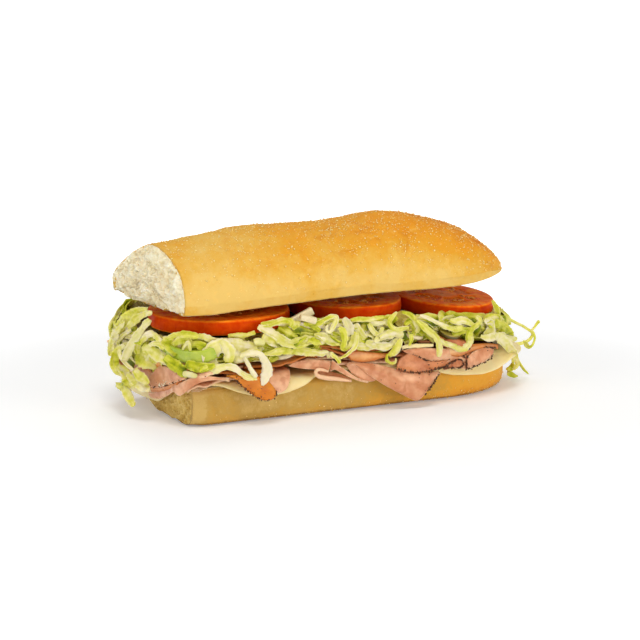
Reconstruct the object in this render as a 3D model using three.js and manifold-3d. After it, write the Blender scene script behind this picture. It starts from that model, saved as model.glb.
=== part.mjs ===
// Half of a deli submarine sandwich, cut square across at its left end and round at its right end.
// Units are millimetres, +Z is up, +X runs along the roll from the cut end to the round end, and the
// front edge of the roll faces -Y. The origin is the middle of the flat underside of the bottom bun.
import * as THREE from "three";
import { mergeVertices } from "three/addons/utils/BufferGeometryUtils.js";
import Module from "manifold-3d";

const wasm = await Module();
wasm.setup();
const { Manifold, Mesh } = wasm;

// ---------------------------------------------------------------- driving dimensions
const GAP = 0.3; // clearance between neighbouring pieces

// bottom bun
const BB_X0 = -77; // cut face
const BB_X1 = 77; // tip of the round end
const BB_NOSE = 38; // where the round end starts
const BB_W = 33; // half width at the rim
const BB_FOOT = 27; // half width of the flat underside
const BB_H = 15.5; // height of its cut top face
const BB_RIM_R = 3.3; // rounding of the upper rim

// top bun
const TB_X0 = -81; // cut face, at the front edge
const TB_X1 = 75.8; // tip of the round end
const TB_W = 33.6; // half width
const TB_NARROW = 3.6; // how much narrower its back half is at the cut face
const TB_LEAN = 5.5; // how far the crest stands in front of the middle line
const TB_SKEW = 0.045; // how far the cut face leans back per mm of width
const TB_BELLY = 4; // height of the widest line above the lower edge
const TB_TUCK = 1.3; // how far the lower edge tucks in
const TB_NOSE = 28; // where the round end starts
const TB_SAG = 1.7; // how far the middle of its underside bulges down
// height of the crest and of the lower edge along the loaf, [x, z]
const TB_CREST = [[-84, 69.2], [-63, 70.9], [-40, 73.2], [-18, 73], [0, 73], [14, 74.6], [27, 74.2], [38, 71.8], [50, 67.8], [59, 63.4], [66, 58.8], [71, 54.6], [74.5, 51], [76.5, 48.8]];
const TB_RIM = [[-84, 46.3], [-60, 46.1], [-30, 46.6], [0, 47.2], [30, 47], [55, 47.6], [76, 48.2]];

// slices
const CHEESE_T = 1.5;
const CHEESE_R = 41;
const MEAT_T = 1.1;
const TOMATO_T = 5.8;

// lettuce heap
const HEAP_TOP = 35.4; // height it is pressed down to by the tomatoes
const HEAP_LOW = 29.4; // height of its underside in the middle
const HEAP_REAR = 6; // how much higher it stands behind the tomatoes

// ---------------------------------------------------------------- small helpers
const { PI, sin, cos, sqrt, abs, min, max, sign, hypot, pow } = Math;
const clamp = (x, a, b) => max(a, min(b, x));
const mix = (a, b, t) => a + (b - a) * t;
const smooth = (a, b, x) => {
  const t = clamp((x - a) / (b - a), 0, 1);
  return t * t * (3 - 2 * t);
};
const rad = (deg) => (deg * PI) / 180;
// a soft uneven wobble, about -1 to 1
const wobble = (a, b, seed) => 0.5 * sin(a * 1.7 + b * 0.9 + seed) + 0.3 * sin(a * 0.8 - b * 2.1 + seed * 2.3) + 0.2 * sin(a * 3.1 + b * 1.3 + seed * 3.7);

// smooth curve through rows of numbers that stand at equal steps of u, 0 to 1
function even(rows, u) {
  const n = rows.length - 1,
    s = clamp(u, 0, 1) * n,
    i = min(n - 1, Math.floor(s)),
    t = s - i,
    at = (k) => rows[clamp(k, 0, n)],
    one = (p0, p1, p2, p3) => 0.5 * (2 * p1 + (p2 - p0) * t + (2 * p0 - 5 * p1 + 4 * p2 - p3) * t * t + (3 * p1 - p0 - 3 * p2 + p3) * t * t * t);
  const a = at(i - 1),
    b = at(i),
    c = at(i + 1),
    d = at(i + 2);
  return Array.isArray(b) ? b.map((_, k) => one(a[k], b[k], c[k], d[k])) : one(a, b, c, d);
}
// value at x of a smooth curve through [x, value] knots
function curve(knots, x) {
  const n = knots.length;
  if (x <= knots[0][0]) return knots[0][1];
  if (x >= knots[n - 1][0]) return knots[n - 1][1];
  let i = 0;
  while (x > knots[i + 1][0]) i++;
  const slope = (k) => {
    const a = knots[max(0, k - 1)],
      b = knots[min(n - 1, k + 1)];
    return (b[1] - a[1]) / (b[0] - a[0]);
  };
  const h = knots[i + 1][0] - knots[i][0],
    t = (x - knots[i][0]) / h,
    t2 = t * t,
    t3 = t2 * t;
  return (2 * t3 - 3 * t2 + 1) * knots[i][1] + (t3 - 2 * t2 + t) * h * slope(i) + (3 * t2 - 2 * t3) * knots[i + 1][1] + (t3 - t2) * h * slope(i + 1);
}

function geometryOf(points, triangles) {
  const g = new THREE.BufferGeometry();
  g.setAttribute("position", new THREE.BufferAttribute(new Float32Array(points.flat()), 3));
  g.setIndex(triangles);
  return g;
}
// a closed body through rings of equal length, closed at each end by a fan to a point
function loft(rings, poleA, poleB) {
  const n = rings[0].length,
    pts = rings.flat(),
    tri = [],
    mean = (r) => [0, 1, 2].map((k) => r.reduce((s, p) => s + p[k], 0) / n),
    last = (rings.length - 1) * n;
  for (let i = 0; i < rings.length - 1; i++)
    for (let j = 0; j < n; j++) {
      const a = i * n + j,
        b = i * n + ((j + 1) % n);
      tri.push(a, b, b + n, a, b + n, a + n);
    }
  pts.push(poleA || mean(rings[0]), poleB || mean(rings[rings.length - 1]));
  const p = pts.length - 2;
  for (let j = 0; j < n; j++) tri.push(p, (j + 1) % n, j, p + 1, last + j, last + ((j + 1) % n));
  return geometryOf(pts, tri);
}
// a closed slab between two grids of points, low(u, v) and high(u, v)
function slab(low, high, us, vs) {
  const nu = us.length - 1,
    nv = vs.length - 1,
    pts = [],
    tri = [],
    id = (i, j, top) => top * (nu + 1) * (nv + 1) + i * (nv + 1) + j;
  for (const f of [low, high]) for (const u of us) for (const v of vs) pts.push(f(u, v));
  for (let i = 0; i < nu; i++)
    for (let j = 0; j < nv; j++) {
      tri.push(id(i, j, 1), id(i + 1, j, 1), id(i + 1, j + 1, 1), id(i, j, 1), id(i + 1, j + 1, 1), id(i, j + 1, 1));
      tri.push(id(i, j, 0), id(i + 1, j + 1, 0), id(i + 1, j, 0), id(i, j, 0), id(i, j + 1, 0), id(i + 1, j + 1, 0));
    }
  const side = (a, b) => tri.push(id(...a, 0), id(...b, 0), id(...b, 1), id(...a, 0), id(...b, 1), id(...a, 1));
  for (let i = 0; i < nu; i++) side([i, 0], [i + 1, 0]), side([i + 1, nv], [i, nv]);
  for (let j = 0; j < nv; j++) side([nu, j], [nu, j + 1]), side([0, j + 1], [0, j]);
  return geometryOf(pts, tri);
}
const steps = (n) => Array.from({ length: n + 1 }, (_, i) => i / n);

function solid(geometry) {
  const g = mergeVertices(geometry, 1e-4),
    make = (tri) => new Manifold(new Mesh({ numProp: 3, vertProperties: g.attributes.position.array, triVerts: tri }));
  let m = make(new Uint32Array(g.index.array));
  if (m.volume() < 0) m = make(new Uint32Array(g.index.array).reverse());
  return m;
}
function geometryFrom(m) {
  const mesh = m.getMesh(),
    n = mesh.numProp,
    v = new Float32Array(mesh.numVert * 3);
  for (let i = 0; i < mesh.numVert; i++) v.set(mesh.vertProperties.subarray(i * n, i * n + 3), i * 3);
  return new THREE.BufferGeometry().setAttribute("position", new THREE.BufferAttribute(v, 3)).setIndex(new THREE.BufferAttribute(new Uint32Array(mesh.triVerts), 1));
}

const group = new THREE.Group();
const placed = []; // what is placed so far, each swollen by the gap
const bodies = []; // as it is
const covers = []; // and, for slices, with all that lies under it
// Puts a piece into the group, cut back where it would run into what is there already.
function place(name, material, body, swollen, under = null, cut = true, coarse = 0.15) {
  let m = solid(body);
  const clear = () => {
    for (const c of bodies)
      if (abs(m.intersect(c).volume()) > 1e-6) for (const d of [[0, 0, 0.15], [0, 0, -0.15], [0, 0.15, 0], [0, -0.15, 0], [0.15, 0, 0], [-0.15, 0, 0]]) m = m.subtract(c.translate(d));
  };
  if (cut) {
    const box = m.boundingBox();
    for (const c of cut === "heap" ? covers : placed) {
      const b = c.boundingBox();
      if ([0, 1, 2].every((k) => b.min[k] < box.max[k] && b.max[k] > box.min[k])) m = m.subtract(c);
    }
    clear();
    const whole = () => m.decompose().reduce((a, b) => (b.volume() > a.volume() ? b : a));
    m = solid(geometryFrom(whole().simplify(coarse)));
    clear();
    m = whole();
  }
  if (swollen) placed.push(solid(swollen));
  if (swollen) covers.push(solid(under || swollen));
  bodies.push(m);
  const mesh = new THREE.Mesh(geometryFrom(m), material);
  mesh.name = name;
  group.add(mesh);
}
const look = (color, roughness) => new THREE.MeshStandardMaterial({ color, roughness, metalness: 0 });
const CRUST = look(0xd9a456, 0.6),
  CHEESE = look(0xf2e3b4, 0.4),
  HAM = look(0xe2a594, 0.4),
  TURKEY = look(0xdd9c68, 0.45),
  LETTUCE = look(0xbccd66, 0.4),
  TOMATO = look(0xcb3c15, 0.25),
  ONION = look(0xf0ecd6, 0.3),
  PEPPER = look(0x7fae2a, 0.3),
  PICKLE = look(0x7a7430, 0.35);

// ---------------------------------------------------------------- bottom bun
const bbK = (x) => (x > BB_NOSE ? sqrt(max(0, 1 - pow((x - BB_NOSE) / (BB_X1 - BB_NOSE), 2))) : 1);
function bottomBun(grow = 0) {
  const rings = [];
  for (const x of [-77, -60, -42, -24, -6, 12, 28, 40, 50, 58, 65, 71, 75]) {
    const k = bbK(x),
      w = (BB_W + 0.4 * wobble(x / 30, 0, 1)) * k + grow,
      foot = BB_FOOT * pow(k, 1.15),
      lift = 2.4 * pow(1 - k, 1.4), // the underside rises a little towards the tip
      top = BB_H - 1.2 * (1 - k) + grow,
      r = min(BB_RIM_R, 0.6 * w),
      half = [[foot * 0.5, lift * 0.3], [foot, lift], [mix(foot, w, 0.55), lift + 1.1], [mix(foot, w, 0.88), lift + 3.6], [w, lift + 7.4]];
    for (let a = 0; a <= 3; a++) half.push([w - r + r * cos((a / 6) * PI), top - r + r * sin((a / 6) * PI)]);
    half.push([w * 0.45, top - 0.4]);
    rings.push([...half.map(([y, z]) => [x, y, z]), [x, 0, top - 0.5], ...half.reverse().map(([y, z]) => [x, -y, z]), [x, 0, lift * 0.3]]);
  }
  return loft(rings, null, [BB_X1, 0, 8.4]);
}

// ---------------------------------------------------------------- top bun
function topBun() {
  const rings = [];
  for (const x of [TB_X0, -66, -50, -34, -18, -2, 12, 24, 35, 45, 53, 60, 66, 71, 74.6]) {
    const t = clamp((x - TB_NOSE) / (TB_X1 - TB_NOSE), 0, 1),
      k = sqrt(max(0, 1 - pow(t, 2.4))),
      w = (TB_W + 0.5 * wobble(x / 26, 1, 2)) * k,
      rim = curve(TB_RIM, x),
      crest = curve(TB_CREST, x),
      belly = min(TB_BELLY, 0.25 * (crest - rim)) * k,
      edge = w - TB_TUCK * k,
      narrow = 1 - (TB_NARROW / TB_W) * (1 - smooth(-80, -30, x)),
      sag = TB_SAG * k,
      ring = [],
      at = (y, z, lean = 0) => ring.push([x - (x === TB_X0 ? TB_SKEW * (y + TB_W) : 0), y > 0 ? y * narrow - lean : y - lean, z]),
      under = [[0, -sag], [0.5 * w, -0.8 * sag], [0.86 * edge, -0.2 * sag], [edge, 0], [w - 0.4 * TB_TUCK * k, 0.4 * belly]];
    for (const [y, z] of under) at(-y, rim + z);
    for (let i = 0; i <= 14; i++) {
      const c = cos((i / 14) * PI),
        s = sin((i / 14) * PI);
      at(-w * sign(c) * pow(abs(c), 1.12), rim + belly + (crest - rim - belly) * pow(s, 1.02), TB_LEAN * k * s * s);
    }
    for (const [y, z] of under.slice(1).reverse()) at(y, rim + z);
    rings.push(ring);
  }
  return loft(rings, null, [TB_X1, 0, 49.2]);
}

// ---------------------------------------------------------------- slices laid over the bottom bun
// distance outside the rim of the bottom bun, and the direction outwards
function rimDistance(x, y) {
  const s = sign(y) || 1;
  if (x > BB_NOSE) {
    const a = BB_X1 - BB_NOSE,
      u = x - BB_NOSE,
      r = hypot(u / a, y / BB_W) || 1e-6,
      g = hypot(u / (a * a), y / (BB_W * BB_W)) || 1;
    return [hypot(u, y) * (1 - 1 / r), u / (a * a) / g, y / (BB_W * BB_W) / g];
  }
  const dx = BB_X0 - x,
    dy = abs(y) - BB_W;
  if (dx > -3 && dy > -3) {
    const l = hypot(dx + 3, dy + 3) || 1;
    return [l - 3, -(dx + 3) / l, (s * (dy + 3)) / l];
  }
  return dx > dy ? [dx, -1, 0] : [dy, 0, s];
}
// A slice. prof is its section at the front edge as [x, height over the bun] from left to right; lift is its height
// in the middle of the sandwich; f and b are how far it reaches to the front and to the back. Where it reaches past
// the rim it bends down, and then hangs out of the bun by the distance out.
function slice(o) {
  const t = o.t ?? MEAT_T,
    out = o.out ?? 3,
    r = o.r ?? 3,
    most = rad(o.bend ?? 74),
    keep = o.keep ?? 0.35,
    back = o.prof.map(([x], i) => [x, o.prof[o.prof.length - 1 - i][1]]),
    section = (u, v) => {
      const [x, h] = even(o.prof, u),
        hb = o.loop ? h : even(back, u)[1],
        k = keep + (1 - keep) * pow(abs(2 * v - 1), 1.3);
      return [x + (o.skew ?? 0) * (v - 0.5) * 10, o.lift + (mix(h, hb, v) - o.lift) * k];
    },
    point = (u, v, off, grow) => {
      const p = section(u, v),
        e = 0.01,
        p0 = section(max(0, u - e), v),
        p1 = section(min(1, u + e), v),
        l = hypot(p1[0] - p0[0], p1[1] - p0[1]) || 1,
        nx = -(p1[1] - p0[1]) / l,
        nh = (p1[0] - p0[0]) / l,
        end = grow * (u === 0 ? -1 : u === 1 ? 1 : 0),
        x = p[0] + nx * off + nh * end,
        y = mix(-even(o.f, u) - grow, even(o.b, u) + grow, v),
        h = p[1] + nh * off - nx * end - o.lift;
      const [q, gx, gy] = rimDistance(x, y),
        bend = most * (o.soft ? 1 : mix(1, 0.3, smooth(50, 70, x))),
        q0 = out - r * sin(bend),
        over = q - q0;
      if (over <= 0) return [x, y, BB_H + o.lift + h];
      const th = min(over / r, bend),
        rest = max(0, over - r * bend),
        go = r * sin(th) + rest * cos(bend) + h * sin(th) - over,
        drop = r * (1 - cos(th)) + rest * sin(bend);
      return [x + gx * go, y + gy * go, BB_H + o.lift - drop + h * cos(th)];
    },
    us = steps(o.nu ?? 2 * (o.prof.length - 1)),
    vs = o.vs ?? [0, 0.07, 0.16, 0.5, 0.84, 0.93, 1];
  const between = (lo, hi, grow) => slab((u, v) => point(u, v, lo, grow), (u, v) => point(u, v, hi, grow), us, vs);
  // the third body fills all that lies under the slice
  const under = o.loop ? null : slab((u, v) => [...point(u, v, t + GAP, GAP).slice(0, 2), 1], (u, v) => point(u, v, t + GAP, GAP), us, vs);
  return [between(0, t, 0), between(-GAP, t + GAP, GAP), under];
}
// reach of a round slice of radius r about (cx, cy), between x0 and x1
const round = (cx, cy, r, x0, x1, n = 8) => Array.from({ length: n + 1 }, (_, i) => cy + sqrt(max(1, r * r - pow(mix(x0, x1, i / n) - cx, 2))));
const flat = (x0, x1, h0, h1 = h0, n = 5) => Array.from({ length: n }, (_, i) => [mix(x0, x1, i / (n - 1)), mix(h0, h1, i / (n - 1))]);

place("bun_bottom", CRUST, bottomBun(), bottomBun(0.1), null, false);

// round cheese slices, the middle one on top of the outer two
function cheese(name, cx, cy, x0, x1, h, extra) {
  place(name, CHEESE, ...slice({ prof: flat(x0, x1, h, h, 9), lift: h, keep: 1, f: round(cx, -cy, CHEESE_R, x0, x1), b: round(cx, cy, CHEESE_R, x0, x1), t: CHEESE_T, nu: 10, ...extra }));
}
cheese("cheese_1", -45, 0, -80.5, -6, 0.4, { out: 1.4 });
cheese("cheese_3", 43, 2, 7, 82.5, 0.4, { out: 1.6 });
cheese("cheese_2", 5, 2.6, -34, 44, 2.3, { out: 3.2 });

// cold cuts, from the bottom up
const MEATS = [
  // name, look, section at the front, lift, reach to the front, reach to the back, distance of the hanging part
  ["ham_1", HAM, [[-81, 2.2], [-74, 2.2], [-66, 2.3], [-58, 2.3], [-50, 2.4], [-42, 2.3]], 2.2, [33.5, 38.5, 37, 35.5, 35, 33], [34, 37, 36, 33, 34, 31], 3],
  ["ham_2", HAM, [[-62, 3.8], [-55, 3.7], [-48, 3.6], [-41, 3.8], [-37, 4.4]], 3.6, [34, 39, 43.5, 43, 34], [33, 36, 38, 35, 32], 4.3],
  ["turkey_1", TURKEY, [[-70, 6.4], [-64, 5.4], [-58, 5], [-51, 5], [-44, 5.2]], 5, [33.5, 37, 42, 46.5, 40], [32, 35, 34, 36, 33], 5.7],
  ["ham_3", HAM, [[-83, 4.4], [-79, 5.6], [-75.5, 8.4], [-72, 9.3], [-68, 8.2], [-62, 6.9], [-55, 6.5]], 6.3, [31, 36, 38, 37.5, 36, 34, 32], [30, 34, 35, 36, 35, 33, 30], 5],
  ["turkey_2", TURKEY, [[-56, 6.6], [-46, 6.5], [-37, 7.6], [-29, 9.2], [-22, 9.6]], 6.6, [33, 35, 35.5, 35, 32], [31, 34, 35, 34, 31], 4],
  ["turkey_3", TURKEY, [[-86, 8.6], [-80, 10], [-74, 11.6], [-68, 10.6], [-60, 8.4], [-50, 8.2]], 8, [30, 34, 35, 34, 33, 30], [30, 34, 36, 34, 33, 30], 4],
  ["ham_4", HAM, [[-8, 5.6], [-19, 5.5], [-27, 5.5], [-29.8, 5.8], [-30.6, 6.7], [-29.4, 7.5], [-26, 7.3], [-20, 7.1], [-12, 7.1]], 6.2, [37, 36, 35.5, 35, 35, 35, 35, 35, 35.5], [35, 35, 35, 34, 34, 34, 34, 34, 33], 5, { keep: 1, loop: 1, nu: 15 }],
  ["turkey_4", TURKEY, [[-36, 9], [-30, 8.9], [-26.4, 8.4], [-25, 8.1], [-23.6, 9.4], [-22, 11.4], [-19, 10.4], [-14, 8.6], [-9, 7.4], [-5, 7.2]], 8.4, [33, 34.5, 35, 35, 35, 35, 35.5, 36.5, 39, 38], [31, 34, 35, 35, 35, 35, 34, 34, 33, 31], 5.4, { nu: 15 }],
  ["ham_5", HAM, [[-15, 6.6], [-7, 5], [1, 4.1], [9, 4.1], [17, 4.1], [25, 4.1], [33, 4.1]], 4.1, [34, 35.5, 37.5, 42.5, 48, 48.5, 34], [31, 35, 37, 39, 37, 35, 32], 4.6, { nu: 13 }],
  ["ham_6", HAM, [[33, 6.9], [26, 6.8], [18, 6.8], [10, 6.9], [8, 7.7], [9, 8.7], [14, 9.1], [21, 8.9], [27, 8.6]], 7.6, [38, 40.5, 40.5, 38.5, 37.5, 37, 36.5, 36, 35.5], [34, 36, 36, 35, 34, 34, 34, 34, 33], 6.2, { keep: 1, loop: 1, nu: 15 }],
  ["ham_7", HAM, [[20, 10.4], [27, 10.1], [33, 9.2], [36.4, 8], [36.2, 6.4], [33.8, 5.8]], 7.8, [36, 37, 37.5, 38, 38, 38], [34, 34, 34, 34, 34, 33], 5.6, { keep: 1, loop: 1, nu: 12 }],
  ["ham_8", HAM, [[37.4, 4.2], [42, 4.2], [48, 4.4], [55, 4.2], [61, 3.4]], 3.9, [37.5, 38.5, 36, 33, 28], [35, 35, 33, 30, 26], 5],
  ["turkey_5", TURKEY, [[-33, 11], [-26, 12.3], [-20, 12.4], [-12, 11.2], [-4, 9.6], [4, 8.6], [12, 10.2], [19, 11.4]], 10.6, [33, 35, 36.5, 38, 38, 37, 35.5, 33], [31, 34, 35, 35, 34, 34, 34, 31], 5.2, { nu: 13 }],
  ["turkey_6", TURKEY, [[24, 11.6], [30, 11.2], [37, 9.8], [43, 8.2], [50, 7.4], [57, 6.4]], 8.6, [34, 36, 36.5, 35.5, 31, 25], [32, 34, 34, 33, 30, 24], 4.5],
];
for (const [name, mat, prof, lift, f, b, out, extra] of MEATS) place(name, mat, ...slice({ prof, lift, f, b, out, ...extra }));

// a small curl of ham that sticks out of the cut end, its section given as [y, z]
const CURL = [[25, 25.5], [21, 22.5], [19.6, 18.6], [16, 15.9], [8, 16.2], [0, 18.4], [-7, 21.4]];
const curl = (off, grow) => (u, v) => {
  const p = even(CURL, u),
    a = even(CURL, max(0, u - 0.01)),
    b = even(CURL, min(1, u + 0.01)),
    l = hypot(b[0] - a[0], b[1] - a[1]);
  return [mix(-89 + 2 * sin(3 * u) - grow, -82.4 + grow, v), p[0] + (off * (b[1] - a[1])) / l, p[1] - (off * (b[0] - a[0])) / l];
};
const CURL_U = steps(12);
CURL_U[0] = 0;
place("ham_9", HAM, slab(curl(0, 0), curl(MEAT_T, 0), CURL_U, [0, 0.5, 1]), slab(curl(-GAP, GAP), curl(MEAT_T + GAP, GAP), CURL_U, [0, 1]));

// ---------------------------------------------------------------- small toppings
// a strip with an oval section along a path; the section's long side stands at the angle turn from upright
function strip(path, wide, thick, { n = 10, sides = 8, turn = 0, grow = 0 } = {}) {
  const rings = [];
  for (let i = 0; i <= n; i++) {
    const u = i / n,
      p = new THREE.Vector3(...even(path, u)),
      d = new THREE.Vector3(...even(path, min(1, u + 0.02))).sub(new THREE.Vector3(...even(path, max(0, u - 0.02)))).normalize(),
      sideways = new THREE.Vector3().crossVectors(d, new THREE.Vector3(0, 0, 1)).normalize(),
      upright = new THREE.Vector3().crossVectors(sideways, d);
    if (i === 0) p.addScaledVector(d, -grow);
    if (i === n) p.addScaledVector(d, grow);
    const a = rad(typeof turn === "number" ? turn : even(turn, u)),
      e1 = upright.clone().multiplyScalar(cos(a)).addScaledVector(sideways, sin(a)),
      e2 = new THREE.Vector3().crossVectors(d, e1),
      taper = sides > 4 ? mix(0.72, 1, min(1, 6 * min(u, 1 - u))) : 1;
    rings.push(
      Array.from({ length: sides }, (_, j) => {
        const t = (2 * PI * (j + 0.5)) / sides,
          k = sides > 4 ? 1 : sqrt(2);
        return p.clone().addScaledVector(e1, (wide / 2 + grow) * taper * k * cos(t)).addScaledVector(e2, (thick / 2 + grow) * taper * k * sin(t)).toArray();
      }),
    );
  }
  return loft(rings);
}
// a round slice: centre of its underside, radius, thickness, and how far it leans in degrees about X and about Y
function disc(c, r, t, leanX = 0, leanY = 0, { n = 26, skin = 0.8, uneven = 0.02, grow = 0, seed = 0 } = {}) {
  const rings = [[-grow, r - skin], [skin, r], [t - skin, r], [t + grow, r - skin]].map(([z, rr]) =>
    Array.from({ length: n }, (_, i) => {
      const a = (2 * PI * i) / n,
        q = (rr + grow) * (1 + uneven * wobble(2 * cos(a), 2 * sin(a), seed));
      return [q * cos(a), q * sin(a), z];
    }),
  );
  const g = loft(rings);
  g.applyMatrix4(new THREE.Matrix4().makeRotationFromEuler(new THREE.Euler(rad(leanX), rad(leanY), 0)));
  g.translate(...c);
  return g;
}
function placeDisc(name, material, c, r, t, lx, ly, extra) {
  place(name, material, disc(c, r, t, lx, ly, extra), disc(c, r, t, lx, ly, { ...extra, grow: GAP }));
}
function placeStrip(name, material, path, wide, thick, extra) {
  place(name, material, strip(path, wide, thick, extra), strip(path, wide, thick, { ...extra, grow: GAP }));
}

placeDisc("tomato_1", TOMATO, [-54, -6, 36], 28.4, TOMATO_T, 0.6, -0.6, { seed: 1 });
placeDisc("tomato_3", TOMATO, [2, -8, 35.9], 22.8, TOMATO_T - 0.2, 0.5, 0.5, { seed: 2, n: 24 });
placeDisc("tomato_4", TOMATO, [46.5, -7.5, 33.6], 22, TOMATO_T - 0.3, 5, 4.5, { seed: 3, n: 24 });
placeDisc("tomato_2", TOMATO, [-22, 9.5, 42.4], 20.5, 4.6, 0, 0, { seed: 4, n: 22 });

placeStrip("pepper_strip", PEPPER, [[-84, -13, 32.4], [-83.4, -22, 30.4], [-80.6, -30.5, 29.2], [-75.4, -36, 29.4], [-70.6, -38, 31.2]], 5, 3, { n: 9 });
placeStrip("onion_stick_1", ONION, [[-34.4, -32, 38.6], [-30.2, -32.6, 40.6], [-26, -33.2, 42.6]], 3, 2.6, { n: 2, sides: 4 });
placeStrip("onion_stick_2", ONION, [[-30.6, -35, 38.4], [-27.6, -35.2, 38], [-24.6, -35.4, 37.6]], 2.8, 2.4, { n: 2, sides: 4 });
placeDisc("pickle_1", PICKLE, [16.4, -32, 33], 5.6, 2.2, 38, 0, { n: 14, skin: 0.4, seed: 5 });
placeDisc("pickle_2", PICKLE, [35.4, -33.4, 28], 5.4, 2.2, 30, 8, { n: 14, skin: 0.4, seed: 6 });
placeDisc("pickle_3", PICKLE, [-49, -31, 30.6], 5, 2.2, 50, -15, { n: 14, skin: 0.4, seed: 7 });
place("onion_slice_1", ONION, ...slice({ prof: [[9.5, 13.4], [15, 13.3], [21, 12], [27, 11.6]], lift: 12.6, keep: 1, f: [33, 37, 37.5, 33], b: [-14, -10, -10, -14], out: 5, t: 2, nu: 6, vs: [0, 0.4, 1] }));
place("onion_slice_2", ONION, ...slice({ prof: [[-46, 8.6], [-41, 9], [-36, 9.9], [-31, 11.2]], lift: 9.6, keep: 1, f: [33, 35.5, 35.5, 33], b: [-16, -12, -12, -16], out: 5, t: 1.8, nu: 6, vs: [0, 0.4, 1] }));

// strands of lettuce that stick out at the round end
placeStrip("strand_1", LETTUCE, [[70, -12, 28.6], [75, -10.5, 27.2], [81, -10, 24.3], [86, -10, 21.6], [89.8, -10, 18.6], [87.6, -9.6, 15.6], [81.5, -10, 14.8], [75, -11, 16.2]], 1.4, 0.9, { n: 16, sides: 4, turn: 25 });
placeStrip("strand_2", LETTUCE, [[73, -14, 22.6], [77.6, -11, 19.6], [80, -10, 14.4], [83.8, -10, 6.2], [88, -10, 1.4]], 1.4, 0.9, { n: 9, sides: 4, turn: 60 });
placeStrip("strand_3", LETTUCE, [[68, -21, 22.6], [72.6, -18, 18.6], [76.6, -15, 13.4], [79.6, -12, 8.8], [79.4, -11, 5.6], [77.6, -10.6, 4], [79.4, -10, 2.2], [83, -9.6, 1]], 1.8, 0.9, { n: 14, sides: 4, turn: [60, 60, 50, 40, 20, 0, -20, -30] });

// ---------------------------------------------------------------- lettuce heap
// its outline along the roll: [x, front, back, underside, top]
const HEAP = [[-88.5, -2, 26, 20, 31], [-85.5, -15, 32, 14, 35], [-80.5, -29, 36, 22, 38], [-72, -36.4, 37, 24, 38.5], [-62, -38, 37, 23.5, 37], [-52, -38.4, 36.5, 24, 36.5], [-42, -37.4, 37.5, 25, 36.5], [-32, -37.2, 38, 25.5, 39], [-22, -37.8, 37.5, 25.5, 39.5], [-12, -38.4, 37, 24, 38.5], [-1, -38.2, 38, 24, 37], [10, -37.6, 37.5, 24.5, 37], [21, -38, 37, 25, 38], [32, -37.6, 37.5, 24, 35.6], [43, -37, 36.4, 22.5, 34], [54, -35.4, 34.5, 21.5, 34], [64, -30, 30, 20, 34], [72, -23.5, 24, 18, 33.5], [78.5, -14, 15, 20, 30]];
const heapRings = HEAP.map(([x, front, back, low, top], i) => {
  const n = 16,
    whole = i < 3 || i > 15, // towards its ends the heap is as deep as its sides
    cy = (front + back) / 2,
    hw = (back - front) / 2;
  return Array.from({ length: n }, (_, j) => {
    const a = (2 * PI * (j + 0.5)) / n,
      c = -sign(cos(a)) * pow(abs(cos(a)), 0.6),
      s = -sin(a),
      side = smooth(0.78, 0.96, abs(c)),
      rear = HEAP_REAR * smooth(0.5, 0.85, c) * smooth(-84, -74, x) * (1 - smooth(15, 60, x)),
      lo = whole ? low : mix(HEAP_LOW, low, side),
      hi = (whole ? top : mix(HEAP_TOP, top, side)) + rear;
    return [x + 0.9 * wobble(j, i, 5), cy + hw * c * (1 + 0.02 * wobble(i * 1.9, j * 2.3, 3)), mix(lo, hi, 0.5 + 0.5 * sign(s) * pow(abs(s), 0.45)) + 0.5 * side * wobble(i * 2.7, j * 1.3, 8)];
  });
});
place("lettuce", LETTUCE, loft(heapRings), null, null, "heap", 0.15);

// the bread is soft: the tomatoes press into it
place("bun_top", CRUST, topBun(), null);

export default group;
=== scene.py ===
import bpy, math
import numpy as np
from mathutils import Matrix, Vector


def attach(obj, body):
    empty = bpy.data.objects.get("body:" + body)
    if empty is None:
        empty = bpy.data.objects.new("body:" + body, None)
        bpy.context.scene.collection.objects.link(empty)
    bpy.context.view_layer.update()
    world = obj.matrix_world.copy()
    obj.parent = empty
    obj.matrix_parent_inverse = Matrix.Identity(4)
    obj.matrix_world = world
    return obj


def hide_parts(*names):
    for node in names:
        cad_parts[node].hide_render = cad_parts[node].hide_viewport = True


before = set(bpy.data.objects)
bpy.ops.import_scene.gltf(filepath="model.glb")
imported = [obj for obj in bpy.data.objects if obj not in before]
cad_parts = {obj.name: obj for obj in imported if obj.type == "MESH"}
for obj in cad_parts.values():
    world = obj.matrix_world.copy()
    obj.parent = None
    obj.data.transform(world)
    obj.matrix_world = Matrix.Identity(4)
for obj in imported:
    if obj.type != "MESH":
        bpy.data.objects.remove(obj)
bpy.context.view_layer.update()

# Half of a deli submarine sandwich. Lengths below are millimetres unless a name says otherwise; meshes are written in metres.
PI = math.pi
MM = 0.001
GAP = 0.3

# ================================================================= numbers shared with the solids
BB_X0, BB_X1, BB_NOSE, BB_W, BB_FOOT, BB_H, BB_RIM_R = -77.0, 77.0, 38.0, 33.0, 27.0, 15.5, 3.3
TB_X0, TB_X1, TB_W, TB_NARROW, TB_LEAN, TB_SKEW = -81.0, 75.8, 33.6, 3.6, 5.5, 0.045
TB_BELLY, TB_TUCK, TB_NOSE, TB_SAG = 4.0, 1.3, 28.0, 1.7
TB_CREST = [(-84, 69.2), (-63, 70.9), (-40, 73.2), (-18, 73), (0, 73), (14, 74.6), (27, 74.2), (38, 71.8), (50, 67.8), (59, 63.4), (66, 58.8), (71, 54.6), (74.5, 51), (76.5, 48.8)]
TB_RIM = [(-84, 46.3), (-60, 46.1), (-30, 46.6), (0, 47.2), (30, 47), (55, 47.6), (76, 48.2)]
CHEESE_T, CHEESE_R, MEAT_T = 1.5, 41.0, 1.1


# ================================================================= small helpers
def mix(a, b, t):
    return a + (b - a) * t


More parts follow.
